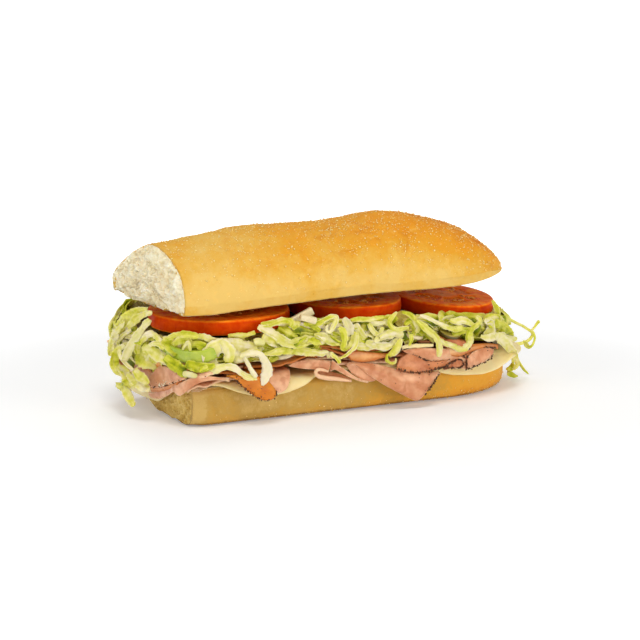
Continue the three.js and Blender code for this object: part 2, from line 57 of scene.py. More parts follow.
def smooth(a, b, x):
    t = np.clip((x - a) / (b - a), 0, 1)
    return t * t * (3 - 2 * t)


def wobble(a, b, seed):
    return 0.5 * np.sin(a * 1.7 + b * 0.9 + seed) + 0.3 * np.sin(a * 0.8 - b * 2.1 + seed * 2.3) + 0.2 * np.sin(a * 3.1 + b * 1.3 + seed * 3.7)


def even(rows, u):
    """smooth curve through rows that stand at equal steps of u"""
    rows = np.asarray(rows, float)
    u = np.asarray(u, float)
    n = len(rows) - 1
    s = np.clip(u, 0, 1) * n
    i = np.minimum(n - 1, np.floor(s).astype(int))
    t = (s - i).reshape(s.shape + (1,) * (rows.ndim - 1))
    a, b, c, d = (rows[np.clip(i + k, 0, n)] for k in (-1, 0, 1, 2))
    return 0.5 * (2 * b + (c - a) * t + (2 * a - 5 * b + 4 * c - d) * t * t + (3 * b - a - 3 * c + d) * t**3)


def curve(knots, x):
    """smooth curve through (x, value) knots"""
    k = np.array(knots, float)
    X, Y = k[:, 0], k[:, 1]
    n = len(X)
    i = np.clip(np.searchsorted(X, x, side="right") - 1, 0, n - 2)
    slope = lambda j: (Y[np.minimum(n - 1, j + 1)] - Y[np.maximum(0, j - 1)]) / (X[np.minimum(n - 1, j + 1)] - X[np.maximum(0, j - 1)])
    h = X[i + 1] - X[i]
    t = np.clip((x - X[i]) / h, 0, 1)
    return (2 * t**3 - 3 * t**2 + 1) * Y[i] + (t**3 - 2 * t**2 + t) * h * slope(i) + (3 * t**2 - 2 * t**3) * Y[i + 1] + (t**3 - t**2) * h * slope(i + 1)


def unit(v):
    return v / np.maximum(np.linalg.norm(v, axis=-1, keepdims=True), 1e-9)


_table = np.random.default_rng(11)
_perm = _table.permutation(256)
_grad = unit(_table.normal(size=(256, 3)))


def noise(P, seed=0):
    """gradient noise of points (..., 3), about -1 to 1"""
    P = np.asarray(P, float) + seed * 13.37
    i = np.floor(P).astype(int)
    f = P - i
    w = f * f * f * (f * (f * 6 - 15) + 10)
    out = 0
    for dx in (0, 1):
        a = _perm[(i[..., 0] + dx) & 255]
        wx = w[..., 0] if dx else 1 - w[..., 0]
        for dy in (0, 1):
            b = _perm[(a + i[..., 1] + dy) & 255]
            wy = w[..., 1] if dy else 1 - w[..., 1]
            for dz in (0, 1):
                g = _grad[_perm[(b + i[..., 2] + dz) & 255]]
                wz = w[..., 2] if dz else 1 - w[..., 2]
                out = out + wx * wy * wz * ((f[..., 0] - dx) * g[..., 0] + (f[..., 1] - dy) * g[..., 1] + (f[..., 2] - dz) * g[..., 2])
    return out * 1.7


def fbm(P, octaves=4, seed=0, gain=0.5):
    P = np.asarray(P, float)
    out, a, s = 0, 1.0, 0.0
    for k in range(octaves):
        out = out + a * noise(P * 2.03**k, seed + k * 3)
        s += a
        a *= gain
    return out / s


def cells(P, size, seed=0):
    """distance to the nearest and the next of scattered points, P (..., 2), in cell sizes"""
    q = P / size
    i = np.floor(q).astype(int)
    f1 = np.full(q.shape[:-1], 9.0)
    f2 = np.full(q.shape[:-1], 9.0)
    for dx in (-1, 0, 1):
        for dy in (-1, 0, 1):
            a = _perm[(i[..., 0] + dx + seed) & 255]
            b = _perm[(a + i[..., 1] + dy) & 255]
            c = _perm[(b + 57) & 255]
            d = np.hypot(i[..., 0] + dx + b / 255 - q[..., 0], i[..., 1] + dy + c / 255 - q[..., 1])
            f2 = np.minimum(f2, np.maximum(d, f1))
            f1 = np.minimum(f1, d)
    return f1, f2


def crumb_relief(P2, seed=0):
    """open, stringy bread crumb: height in mm over (..., 2) points, pits negative"""
    P3 = np.concatenate([P2, np.full(P2.shape[:-1] + (1,), seed * 1.7)], -1)
    w = np.stack([noise(P3 / 3.1, seed + 1), noise(P3 / 3.1, seed + 2)], -1)
    w2 = np.stack([noise(P3 / 1.1, seed + 4), noise(P3 / 1.1, seed + 5)], -1)
    a, a2 = cells(P2 + 1.5 * w + 0.45 * w2, 2.7, seed)
    b, b2 = cells(P2 + 0.9 * w + 0.35 * w2, 1.25, seed + 40)
    big = smooth(0.05, 0.75, a) - 0.6
    small = smooth(0.0, 0.7, b) - 0.6
    thread = smooth(0.22, 0.0, a2 - a) + 0.7 * smooth(0.2, 0.0, b2 - b)
    where = 0.5 + 0.5 * np.clip(1.6 * noise(P3 / 9, seed + 7), -1, 1)
    return (0.55 + 0.75 * where) * big + 0.55 * small + 0.28 * thread + 0.5 * noise(P3 / 6.5, seed + 9)


# ================================================================= meshes
def build(name, V, faces, material, slot=None, replaces=(), attrs=None, smooth_shade=True, outward=True):
    V = np.asarray(V, float).reshape(-1, 3)
    faces = [np.asarray(f, np.int64) for f in (faces if isinstance(faces, list) else [faces]) if len(f)]
    if outward:
        vol = 0.0
        for f in faces:
            p0 = V[f[:, 0]]
            for k in range(1, f.shape[1] - 1):
                vol += np.einsum("ij,ij->i", p0, np.cross(V[f[:, k]], V[f[:, k + 1]])).sum()
        if vol < 0:
            faces = [f[:, ::-1] for f in faces]
    me = bpy.data.meshes.new(name)
    me.vertices.add(len(V))
    me.vertices.foreach_set("co", (V * MM).astype(np.float32).ravel())
    loops = np.concatenate([f.ravel() for f in faces]).astype(np.int32)
    sizes = np.concatenate([np.full(len(f), f.shape[1]) for f in faces])
    me.loops.add(len(loops))
    me.loops.foreach_set("vertex_index", loops)
    me.polygons.add(len(sizes))
    me.polygons.foreach_set("loop_start", np.concatenate([[0], np.cumsum(sizes)[:-1]]).astype(np.int32))
    me.update(calc_edges=True)
    me.validate()
    me.polygons.foreach_set("use_smooth", np.full(len(me.polygons), smooth_shade))
    for key, val in (attrs or {}).items():
        a = me.attributes.new(key, "FLOAT", "POINT")
        a.data.foreach_set("value", np.asarray(val, np.float32).ravel())
    me.materials.append(material)
    o = bpy.data.objects.new(name, me)
    bpy.context.scene.collection.objects.link(o)
    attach(o, "root")
    if replaces:
        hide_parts(*replaces)
    return o


def quads(I):
    return np.stack([I[:-1, :-1], I[1:, :-1], I[1:, 1:], I[:-1, 1:]], -1).reshape(-1, 4)


def slab(low, high):
    """closed body between two grids of points"""
    nu, nv = low.shape[0], low.shape[1]
    I = np.arange(nu * nv).reshape(nu, nv)
    T = I + I.size
    F = [quads(T), quads(I)[:, ::-1]]

    def side(a, b, ta, tb):
        F.append(np.stack([a, b, tb, ta], -1))

    side(I[:-1, 0], I[1:, 0], T[:-1, 0], T[1:, 0])
    side(I[1:, -1], I[:-1, -1], T[1:, -1], T[:-1, -1])
    side(I[-1, :-1], I[-1, 1:], T[-1, :-1], T[-1, 1:])
    side(I[0, 1:], I[0, :-1], T[0, 1:], T[0, :-1])
    return np.concatenate([low.reshape(-1, 3), high.reshape(-1, 3)]), np.concatenate(F)


def rings(R, pole_a, pole_b):
    """closed body through rings of equal length, R (n, m, 3), with a point at each end"""
    n, m = R.shape[:2]
    I = np.arange(n * m).reshape(n, m)
    W = np.concatenate([I, I[:, :1]], 1)
    a, b = n * m, n * m + 1
    fa = np.stack([np.full(m, a), W[0, 1:], W[0, :-1]], -1)
    fb = np.stack([np.full(m, b), W[-1, :-1], W[-1, 1:]], -1)
    V = np.concatenate([R.reshape(-1, 3), [pole_a, pole_b]])
    return V, [quads(W), fa, fb]


class Join:
    """collects meshes with the same attributes into one"""

    def __init__(self):
        self.V, self.F, self.A, self.n = [], {}, {}, 0

    def add(self, V, F, **attrs):
        V = np.asarray(V, float).reshape(-1, 3)
        for f in F if isinstance(F, list) else [F]:
            self.F.setdefault(f.shape[1], []).append(f + self.n)
        for k, v in attrs.items():
            self.A.setdefault(k, []).append(np.broadcast_to(np.asarray(v, float).ravel() if np.ndim(v) else v, (len(V),)))
        self.V.append(V)
        self.n += len(V)

    def build(self, name, material, **kw):
        return build(name, np.concatenate(self.V), [np.concatenate(f) for f in self.F.values()], material, attrs={k: np.concatenate(v) for k, v in self.A.items()}, **kw)


ICO_V = unit(np.array([(-1, PHI, 0) for PHI in [1.618]] + [(1, 1.618, 0), (-1, -1.618, 0), (1, -1.618, 0), (0, -1, 1.618), (0, 1, 1.618), (0, -1, -1.618), (0, 1, -1.618), (1.618, 0, -1), (1.618, 0, 1), (-1.618, 0, -1), (-1.618, 0, 1)], float))
ICO_F = np.array([(0, 11, 5), (0, 5, 1), (0, 1, 7), (0, 7, 10), (0, 10, 11), (1, 5, 9), (5, 11, 4), (11, 10, 2), (10, 7, 6), (7, 1, 8), (3, 9, 4), (3, 4, 2), (3, 2, 6), (3, 6, 8), (3, 8, 9), (4, 9, 5), (2, 4, 11), (6, 2, 10), (8, 6, 7), (9, 8, 1)])
OCT_V = np.array([(1, 0, 0), (-1, 0, 0), (0, 1, 0), (0, -1, 0), (0, 0, 1), (0, 0, -1)], float)
OCT_F = np.array([(0, 2, 4), (2, 1, 4), (1, 3, 4), (3, 0, 4), (2, 0, 5), (1, 2, 5), (3, 1, 5), (0, 3, 5)])


def grains(rng, P, N, size, flat=0.7, sink=0.2, ico=True):
    """irregular little grains at points P with surface normals N"""
    base, fac = (ICO_V, ICO_F) if ico else (OCT_V, OCT_F)
    n, k = len(P), len(base)
    q = rng.normal(size=(n, 4))
    q /= np.linalg.norm(q, axis=1)[:, None]
    w, x, y, z = q.T
    R = np.stack([1 - 2 * (y * y + z * z), 2 * (x * y - z * w), 2 * (x * z + y * w), 2 * (x * y + z * w), 1 - 2 * (x * x + z * z), 2 * (y * z - x * w), 2 * (x * z - y * w), 2 * (y * z + x * w), 1 - 2 * (x * x + y * y)], -1).reshape(n, 3, 3)
    s = size[:, None] * np.stack([rng.uniform(0.75, 1.3, n), rng.uniform(0.6, 1.1, n), rng.uniform(0.45, 0.9, n)], -1)
    V = base[None] * (1 + 0.18 * rng.normal(size=(n, k, 1))) * s[:, None]
    V = np.einsum("nij,nkj->nki", R, V)
    V = V - (1 - flat) * np.einsum("nki,ni->nk", V, N)[..., None] * N[:, None] + (P + N * (size * (0.5 - sink))[:, None])[:, None]
    F = (fac[None] + (np.arange(n) * k)[:, None, None]).reshape(-1, 3)
    return V.reshape(-1, 3), F


# ================================================================= materials
def lin(r, g, b):
    """screen colour 0-255 to linear"""
    f = lambda c: c / 12.92 if c <= 0.04045 else ((c + 0.055) / 1.055) ** 2.4
    return (f(r / 255), f(g / 255), f(b / 255), 1.0)


class Mat:
    def __init__(self, name, rough=0.5, spec=0.5, sss=0.0, radius=(1, 1, 1), sss_scale=0.001, coat=0.0, coat_rough=0.1, sheen=0.0, ior=None, tint=None):
        self.m = bpy.data.materials.new(name)
        self.m.use_nodes = True
        self.t = self.m.node_tree
        self.t.nodes.clear()
        out = self.t.nodes.new("ShaderNodeOutputMaterial")
        self.b = self.t.nodes.new("ShaderNodeBsdfPrincipled")
        self.t.links.new(self.b.outputs[0], out.inputs[0])
        i = self.b.inputs
        i["Roughness"].default_value = rough
        i["Specular IOR Level"].default_value = spec
        i["Subsurface Weight"].default_value = sss
        i["Subsurface Radius"].default_value = radius
        i["Subsurface Scale"].default_value = sss_scale
        i["Coat Weight"].default_value = coat
        i["Coat Roughness"].default_value = coat_rough
        i["Sheen Weight"].default_value = sheen
        if ior:
            i["IOR"].default_value = ior
        if tint:
            i["Specular Tint"].default_value = (*tint, 1)
        tc = self.t.nodes.new("ShaderNodeTexCoord")
        sc = self.t.nodes.new("ShaderNodeVectorMath")
        sc.operation = "SCALE"
        sc.inputs[3].default_value = 1000
        self.t.links.new(tc.outputs["Object"], sc.inputs[0])
        self.mm = sc.outputs[0]

    def put(self, sock, v):
        if isinstance(v, bpy.types.NodeSocket):
            self.t.links.new(v, sock)
        elif isinstance(v, (tuple, list)) and len(v) == 3 and len(getattr(sock, "default_value", (0, 0, 0))) == 4:
            sock.default_value = (*v, 1)
        else:
            sock.default_value = v

    def math(self, op, a, b=0.0, c=0.0, clamp=False):
        n = self.t.nodes.new("ShaderNodeMath")
        n.operation = op
        n.use_clamp = clamp
        for s, v in zip(n.inputs, (a, b, c)):
            self.put(s, v)
        return n.outputs[0]

    def vec(self, op, a, b):
        n = self.t.nodes.new("ShaderNodeVectorMath")
        n.operation = op
        self.put(n.inputs[0], a)
        self.put(n.inputs[1], b)
        return n.outputs[0]

    def noise(self, scale, detail=4.0, rough=0.5, dist=0.0, vec=None, out="Fac"):
        n = self.t.nodes.new("ShaderNodeTexNoise")
        self.put(n.inputs["Vector"], vec or self.mm)
        n.inputs["Scale"].default_value = scale
        n.inputs["Detail"].default_value = detail
        n.inputs["Roughness"].default_value = rough
        n.inputs["Distortion"].default_value = dist
        return n.outputs[out]

    def cell(self, scale, feature="F1", vec=None, out="Distance", rand=1.0):
        n = self.t.nodes.new("ShaderNodeTexVoronoi")
        n.feature = feature
        self.put(n.inputs["Vector"], vec or self.mm)
        n.inputs["Scale"].default_value = scale
        n.inputs["Randomness"].default_value = rand
        return n.outputs[out]

    def range(self, x, a, b, c=0.0, d=1.0, smoothed=False):
        n = self.t.nodes.new("ShaderNodeMapRange")
        n.interpolation_type = "SMOOTHSTEP" if smoothed else "LINEAR"
        for s, v in zip(n.inputs, (x, a, b, c, d)):
            self.put(s, v)
        return n.outputs[0]

    def ramp(self, fac, stops):
        n = self.t.nodes.new("ShaderNodeValToRGB")
        e = n.color_ramp.elements
        while len(e) < len(stops):
            e.new(0.5)
        for el, (p, c) in zip(e, stops):
            el.position = p
            el.color = c
        self.put(n.inputs[0], fac)
        return n.outputs[0]

    def mix(self, fac, a, b, mode="MIX"):
        n = self.t.nodes.new("ShaderNodeMix")
        n.data_type = "RGBA"
        n.blend_type = mode
        self.put(n.inputs[0], fac)
        self.put(n.inputs[6], a)
        self.put(n.inputs[7], b)
        return n.outputs[2]

    def attr(self, name):
        n = self.t.nodes.new("ShaderNodeAttribute")
        n.attribute_name = name
        return n.outputs["Fac"]

    def sep(self, v=None):
        n = self.t.nodes.new("ShaderNodeSeparateXYZ")
        self.put(n.inputs[0], v or self.mm)
        return n.outputs

    def bump(self, height, strength=0.5, dist=0.001, chain=None):
        n = self.t.nodes.new("ShaderNodeBump")
        n.inputs["Strength"].default_value = strength
        n.inputs["Distance"].default_value = dist
        self.put(n.inputs["Height"], height)
        if chain:
            self.put(n.inputs["Normal"], chain)
        return n.outputs[0]

    def set(self, color=None, rough=None, normal=None):
        if color is not None:
            self.put(self.b.inputs["Base Color"], color)
        if rough is not None:
            self.put(self.b.inputs["Roughness"], rough)
        if normal is not None:
            self.put(self.b.inputs["Normal"], normal)
        return self.m


def crust_material():
    m = Mat("baked_crust", tint=(1, 0.82, 0.5), ior=1.3, rough=0.6, spec=0.18, sss=0.06, radius=(1, 0.5, 0.2), sss_scale=0.002)
    x, y, z = m.sep()
    bake = m.attr("bake")  # 0 pale beside the edge, 1 brown on the crest
    blot = m.noise(0.055, 3, 0.55)
    blot2 = m.noise(0.19, 4, 0.6, 0.6)
    fine = m.noise(1.1, 5, 0.65)
    t = m.math("ADD", bake, m.math("MULTIPLY", m.math("SUBTRACT", blot, 0.5), 0.6))
    t = m.math("ADD", t, m.math("MULTIPLY", m.math("SUBTRACT", blot2, 0.5), 0.5))
    t = m.math("ADD", t, m.math("MULTIPLY", m.math("SUBTRACT", fine, 0.5), 0.22))
    c = m.ramp(t, [(0.0, lin(228, 190, 106)), (0.22, lin(224, 176, 78)), (0.42, lin(222, 160, 50)), (0.62, lin(226, 154, 42)), (0.82, lin(222, 142, 32)), (1.0, lin(196, 108, 18))])
    patch = m.math("MULTIPLY", m.range(m.noise(0.1, 4, 0.6, 0.8), 0.52, 0.66, 0, 1, True), m.range(bake, 0.1, 0.5, 0, 1, True))
    c = m.mix(m.math("MULTIPLY", patch, 0.55), c, lin(206, 128, 30))
    pale = m.range(m.noise(0.24, 4, 0.6, 0.4), 0.56, 0.7, 0, 0.4, True)
    c = m.mix(pale, c, lin(240, 196, 104))
    speck = m.range(m.cell(0.9), 0.0, 0.2, 1, 0, True)
    keep = m.range(m.noise(0.4, 2), 0.5, 0.62, 0, 1)
    c = m.mix(m.math("MULTIPLY", m.math("MULTIPLY", speck, keep), 0.35), c, lin(250, 226, 150))
    dark = m.math("MULTIPLY", m.range(m.cell(0.23), 0.0, 0.09, 1, 0, True), m.range(m.noise(0.11, 2), 0.55, 0.6, 0, 1))
    c = m.mix(m.math("MULTIPLY", dark, 0.5), c, lin(120, 66, 20))
    pores = m.range(m.cell(0.75, vec=m.mm), 0.0, 0.3, 0, 1, True)
    wrinkle = m.noise(0.55, 6, 0.62, 0.3)
    h = m.math("ADD", m.math("MULTIPLY", wrinkle, 0.9), m.math("MULTIPLY", pores, 0.12))
    h = m.math("ADD", h, m.math("MULTIPLY", m.noise(3.0, 4, 0.6), 0.25))
    return m.set(c, m.range(fine, 0.3, 0.7, 0.52, 0.68), m.bump(h, 0.55, 0.0006))


# CRUMB runs from painted shade in the crumb's pits at the dark end to painted light on its raised threads at the pale
# end
CRUMB = [(0.0, lin(190, 160, 100)), (0.3, lin(230, 210, 162)), (0.6, lin(248, 234, 194)), (1.0, lin(255, 248, 222))]
# darker, tan copy of the crumb colours for the bottom bun's cut end: painted shade
TOASTED = [(0.0, lin(156, 112, 36)), (0.3, lin(200, 160, 72)), (0.6, lin(218, 182, 96)), (1.0, lin(234, 206, 130))]


def crumb_material(name="bread_crumb", stops=CRUMB, warm=lin(244, 216, 170), grain=0.7):
    m = Mat(name, rough=0.75, spec=0.25, sss=0.18, radius=(1, 0.75, 0.45), sss_scale=0.002)
    # the attribute read here follows the crumb's relief: painted shade in the pits, painted light on the raised
    # threads; n also lightens the colour where it raises the bump
    pit = m.attr("pit")
    n = m.noise(0.7, 5, 0.65, 0.5)
    n2 = m.noise(0.12, 3, 0.5)
    t = m.math("ADD", pit, m.math("MULTIPLY", m.math("SUBTRACT", n, 0.5), 0.7))
    c = m.ramp(t, stops)
    c = m.mix(m.range(n2, 0.4, 0.65, 0, 0.35), c, warm)
    h = m.math("ADD", n, m.math("MULTIPLY", m.cell(1.7), 0.8))
    return m.set(c, None, m.bump(h, 0.7, 0.0007))


def bottom_crust_material():
    m = Mat("bottom_crust", rough=0.62, spec=0.18, sss=0.06, radius=(1, 0.5, 0.2), sss_scale=0.002)
    x, y, z = m.sep()
    bake = m.attr("bake")
    blot = m.noise(0.06, 3, 0.55)
    fine = m.noise(0.9, 5, 0.65)
    t = m.math("ADD", bake, m.math("MULTIPLY", m.math("SUBTRACT", blot, 0.5), 0.7))
    t = m.math("ADD", t, m.math("MULTIPLY", m.math("SUBTRACT", fine, 0.5), 0.25))
    blot3 = m.noise(0.35, 4, 0.6, 0.5)
    t = m.math("ADD", t, m.math("MULTIPLY", m.math("SUBTRACT", blot3, 0.5), 0.35))
    c = m.ramp(t, [(0.0, lin(212, 176, 100)), (0.12, lin(198, 158, 78)), (0.3, lin(208, 160, 66)), (0.6, lin(236, 170, 54)), (0.85, lin(230, 154, 40)), (1.0, lin(196, 118, 28))])
    # toasted, dusty line where it stood on the baking sheet
    base = m.range(m.math("ADD", z, m.math("MULTIPLY", m.math("SUBTRACT", m.noise(0.5, 4), 0.5), 2.4)), 0.3, 2.0, 1, 0, True)
    c = m.mix(m.math("MULTIPLY", base, 0.75), c, lin(120, 74, 24))
    h = m.math("ADD", m.noise(0.6, 6, 0.62), m.math("MULTIPLY", m.noise(3.0, 4, 0.6), 0.25))
    return m.set(c, None, m.bump(h, 0.5, 0.0007))


def meat_material(name, flesh, pale, deep, rim, rim_w, rim_amt, rough=0.32):
    m = Mat(name, tint=(1, 0.8, 0.6), rough=rough, spec=0.35, sss=0.22, radius=(1, 0.45, 0.3), sss_scale=0.0025, coat=0.22, coat_rough=0.2)
    r = m.attr("rim")  # millimetres from the slice's edge
    big = m.noise(0.11, 3, 0.5, 0.6)
    mid = m.noise(0.22, 3, 0.5, 0.3)
    fib = m.noise(2.6, 3, 0.6)
    c = m.mix(m.range(big, 0.35, 0.65, 0, 1, True), flesh, pale)
    c = m.mix(m.range(mid, 0.42, 0.68, 0, 0.6, True), c, deep)
    c = m.mix(m.range(fib, 0.5, 0.75, 0, 0.14), c, pale)
    edge = m.range(m.math("ADD", r, m.math("MULTIPLY", m.math("SUBTRACT", m.noise(0.7, 3), 0.5), 1.6)), 0.15, rim_w, 1, 0, True)
    c = m.mix(m.math("MULTIPLY", edge, rim_amt), c, rim)
    h = m.math("ADD", mid, m.math("MULTIPLY", fib, 0.3))
    return m.set(c, m.range(mid, 0.3, 0.7, rough - 0.08, rough + 0.12), m.bump(h, 0.35, 0.0006))


def leaf_material(name, stops, sss=0.3):
    m = Mat(name, tint=(1, 1, 0.6), ior=1.35, rough=0.42, spec=0.3, sss=sss, radius=(0.8, 1, 0.2), sss_scale=0.002, coat=0.22, coat_rough=0.14)
    tone = m.attr("tone")
    across = m.attr("across")
    n = m.noise(0.35, 3, 0.5, 0.4)
    v = m.noise(1.6, 3, 0.6, 1.2)
    t = m.math("ADD", tone, m.math("MULTIPLY", m.math("SUBTRACT", n, 0.5), 0.75))
    t = m.math("ADD", t, m.math("MULTIPLY", m.math("SUBTRACT", v, 0.5), 0.15))
    far = m.math("ABSOLUTE", across)
    t = m.math("SUBTRACT", t, m.range(far, 0.0, 0.5, 0.06, 0.0, True))
    # paler rims on every shred: painted highlight along the edges
    t = m.math("SUBTRACT", t, m.range(far, 0.6, 1.0, 0.0, 0.16, True))
    c = m.ramp(t, stops)
    h = m.math("ADD", m.math("MULTIPLY", v, 0.8), m.math("MULTIPLY", m.noise(4.5, 2), 0.2))
    return m.set(c, m.range(n, 0.3, 0.7, 0.34, 0.52), m.bump(h, 0.35, 0.0006))


GREEN = [(0.0, lin(246, 236, 186)), (0.22, lin(236, 228, 146)), (0.45, lin(220, 216, 92)), (0.68, lin(188, 192, 36)), (0.86, lin(140, 152, 10)), (1.0, lin(96, 112, 2))]
# darker copy of the leaf colours for the under layer deep in the heap: painted shade
DEEP = [(0.0, lin(206, 198, 112)), (0.35, lin(172, 168, 64)), (0.65, lin(130, 128, 26)), (1.0, lin(82, 82, 6))]
PALE = [(0.0, lin(240, 230, 192)), (0.3, lin(228, 220, 156)), (0.65, lin(208, 204, 108)), (1.0, lin(184, 184, 66))]

M_CRUST, M_CRUMB, M_BASE = crust_material(), crumb_material(), bottom_crust_material()
M_END = crumb_material("crumb_in_painted_shade", TOASTED, lin(188, 146, 68))
M_HAM = meat_material("ham", lin(206, 136, 94), lin(234, 178, 138), lin(186, 108, 68), lin(246, 206, 166), 0.6, 0.7)
M_PEPPERED = meat_material("peppered_ham", lin(190, 110, 66), lin(214, 140, 92), lin(162, 80, 36), lin(116, 62, 26), 0.7, 0.55)
M_TURKEY = meat_material("turkey", lin(232, 168, 104), lin(240, 186, 130), lin(214, 140, 72), lin(196, 104, 30), 2.4, 0.9)
M_TONGUE = meat_material("turkey_crust", lin(216, 122, 14), lin(228, 142, 38), lin(190, 94, 6), lin(150, 74, 12), 0.8, 0.6)
M_LEAF = leaf_material("lettuce_leaf", GREEN)
M_DEEP = leaf_material("lettuce_painted_shade", DEEP, 0.15)
M_RIB = leaf_material("lettuce_rib", PALE)


def cheese_material():
    m = Mat("cheese", rough=0.36, spec=0.45, sss=0.3, radius=(1, 0.8, 0.4), sss_scale=0.003)
    n = m.noise(0.12, 3, 0.5)
    f = m.noise(1.8, 4, 0.6)
    c = m.mix(m.range(n, 0.35, 0.65), lin(246, 226, 168), lin(240, 214, 146))
    c = m.mix(m.range(f, 0.55, 0.75, 0, 0.3), c, lin(252, 240, 200))
    # dark spots where the bump dips: painted shade in the cheese's small holes
    hole = m.range(m.cell(0.35), 0.0, 0.1, 1, 0, True)
    hole = m.math("MULTIPLY", hole, m.range(m.noise(0.2, 1), 0.52, 0.6))
    c = m.mix(m.math("MULTIPLY", hole, 0.4), c, lin(214, 180, 106))
    return m.set(c, m.range(f, 0.3, 0.7, 0.3, 0.44), m.bump(m.math("SUBTRACT", f, hole), 0.2, 0.0005))


def tomato_material():
    m = Mat("tomato", tint=(1, 0.6, 0.3), ior=1.05, rough=0.3, spec=0.5, sss=0.15, radius=(1, 0.25, 0.05), sss_scale=0.003, coat=0.03, coat_rough=0.1)
    skin, gel, core = m.attr("skin"), m.attr("gel"), m.attr("core")
    n = m.noise(0.3, 4, 0.6, 0.5)
    f = m.noise(1.6, 4, 0.6)
    flesh = m.mix(m.range(n, 0.35, 0.65), lin(242, 92, 6), lin(255, 152, 34))
    flesh = m.mix(m.range(f, 0.5, 0.8, 0, 0.4), flesh, lin(236, 140, 62))
    c = m.mix(m.math("MULTIPLY", gel, 0.85), flesh, m.mix(m.range(f, 0.4, 0.6), lin(186, 54, 2), lin(242, 146, 24)))
    c = m.mix(m.math("MULTIPLY", core, 0.7), c, lin(230, 150, 84))
    sk = m.mix(m.range(n, 0.3, 0.7), lin(198, 50, 1), lin(218, 76, 6))
    c = m.mix(skin, c, sk)
    h = m.math("ADD", n, m.math("MULTIPLY", f, 0.4))
    return m.set(c, m.range(f, 0.3, 0.7, 0.12, 0.3), m.bump(h, 0.3, 0.0006))


def plain_wet(name, stops, axis_noise=0.4, rough=0.25, sss=0.25, radius=(1, 1, 0.6), stripes=None, key=None):
    m = Mat(name, rough=rough, spec=0.5, sss=sss, radius=radius, sss_scale=0.002, coat=0.3, coat_rough=0.1)
    n = m.noise(axis_noise, 4, 0.55, 0.4)
    t = m.math("ADD", m.attr(key), m.math("MULTIPLY", m.math("SUBTRACT", n, 0.5), 0.5)) if key else n
    c = m.ramp(t, stops)
    f = m.noise(2.2, 4, 0.6)
    h = m.math("ADD", n, m.math("MULTIPLY", f, 0.4))
    return m.set(c, m.range(f, 0.3, 0.7, rough - 0.08, rough + 0.12), m.bump(h, 0.3, 0.0005))


M_CHEESE, M_TOMATO = cheese_material(), tomato_material()
M_ONION = plain_wet("onion", [(0.0, lin(186, 160, 100)), (0.5, lin(208, 188, 138)), (1.0, lin(232, 218, 178))], key="tone")
M_PEPPER = plain_wet("green_pepper", [(0.0, lin(222, 222, 130)), (0.5, lin(190, 200, 62)), (0.8, lin(156, 180, 34)), (1.0, lin(122, 156, 18))], key="tone", rough=0.18)
M_PICKLE = plain_wet("pickle", [(0.0, lin(206, 188, 100)), (0.4, lin(176, 156, 62)), (0.75, lin(132, 112, 30)), (1.0, lin(84, 72, 14))], key="tone", rough=0.2)


def simple(name, col, col2, scale, rough, sss=0.0):
    m = Mat(name, rough=rough, spec=0.4, sss=sss, sss_scale=0.001)
    n = m.noise(scale, 3, 0.6)
    return m.set(m.mix(m.range(n, 0.35, 0.65), col, col2), None, m.bump(n, 0.4, 0.0003))


M_MEAL = simple("cornmeal", lin(255, 238, 172), lin(246, 206, 108), 1.5, 0.35, 0.2)
M_GRAIN = simple("ground_pepper", lin(48, 28, 12), lin(104, 62, 26), 2.0, 0.5)
M_SEED = simple("tomato_seed", lin(244, 176, 76), lin(228, 136, 40), 0.9, 0.3, 0.3)
M_DRESS = simple("dressing", lin(250, 240, 216), lin(240, 222, 180), 0.6, 0.2, 0.3)


def core_material():
    # dark olive for the heap's middle: painted shade in the gaps between the shreds
    m = Mat("lettuce_core_painted_shade", rough=0.4, spec=0.3, sss=0.1, radius=(0.6, 1, 0.2), sss_scale=0.002)
    n = m.noise(0.25, 5, 0.6, 0.8)
    c = m.ramp(n, [(0.3, lin(92, 72, 12)), (0.5, lin(128, 112, 26)), (0.7, lin(168, 156, 54))])
    return m.set(c, None, m.bump(n, 0.8, 0.002))


M_CORE = core_material()

# ================================================================= bottom bun
BB_HALF = 54


def bottom_ring(x):
    """half profile of the bottom bun at stations x: (nx, m, 2), from the middle of the underside to the middle of the top"""
    k = np.where(x > BB_NOSE, np.sqrt(np.clip(1 - ((x - BB_NOSE) / (BB_X1 - BB_NOSE)) ** 2, 0, 1)), 1.0)
    w = (BB_W + 0.4 * wobble(x / 30, 0, 1)) * k
    foot = BB_FOOT * k**1.15
    lift = 2.4 * (1 - k) ** 1.4
    top = BB_H - 1.2 * (1 - k)
    r = np.minimum(BB_RIM_R, 0.6 * w)
    rows = [(0 * x, lift * 0.3), (foot * 0.5, lift * 0.3), (foot, lift), (mix(foot, w, 0.55), lift + 1.1), (mix(foot, w, 0.88), lift + 3.6), (w, lift + 7.4)]
    for a in range(4):
        rows.append((w - r + r * math.cos(a / 6 * PI), top - r + r * math.sin(a / 6 * PI)))
    rows += [(w * 0.45, top - 0.4), (0 * x, top - 0.5)]
    R = np.array([np.stack(p, -1) for p in rows])  # (12, nx, 2)
    return np.moveaxis(even(R, np.linspace(0, 1, BB_HALF)), 0, 1)


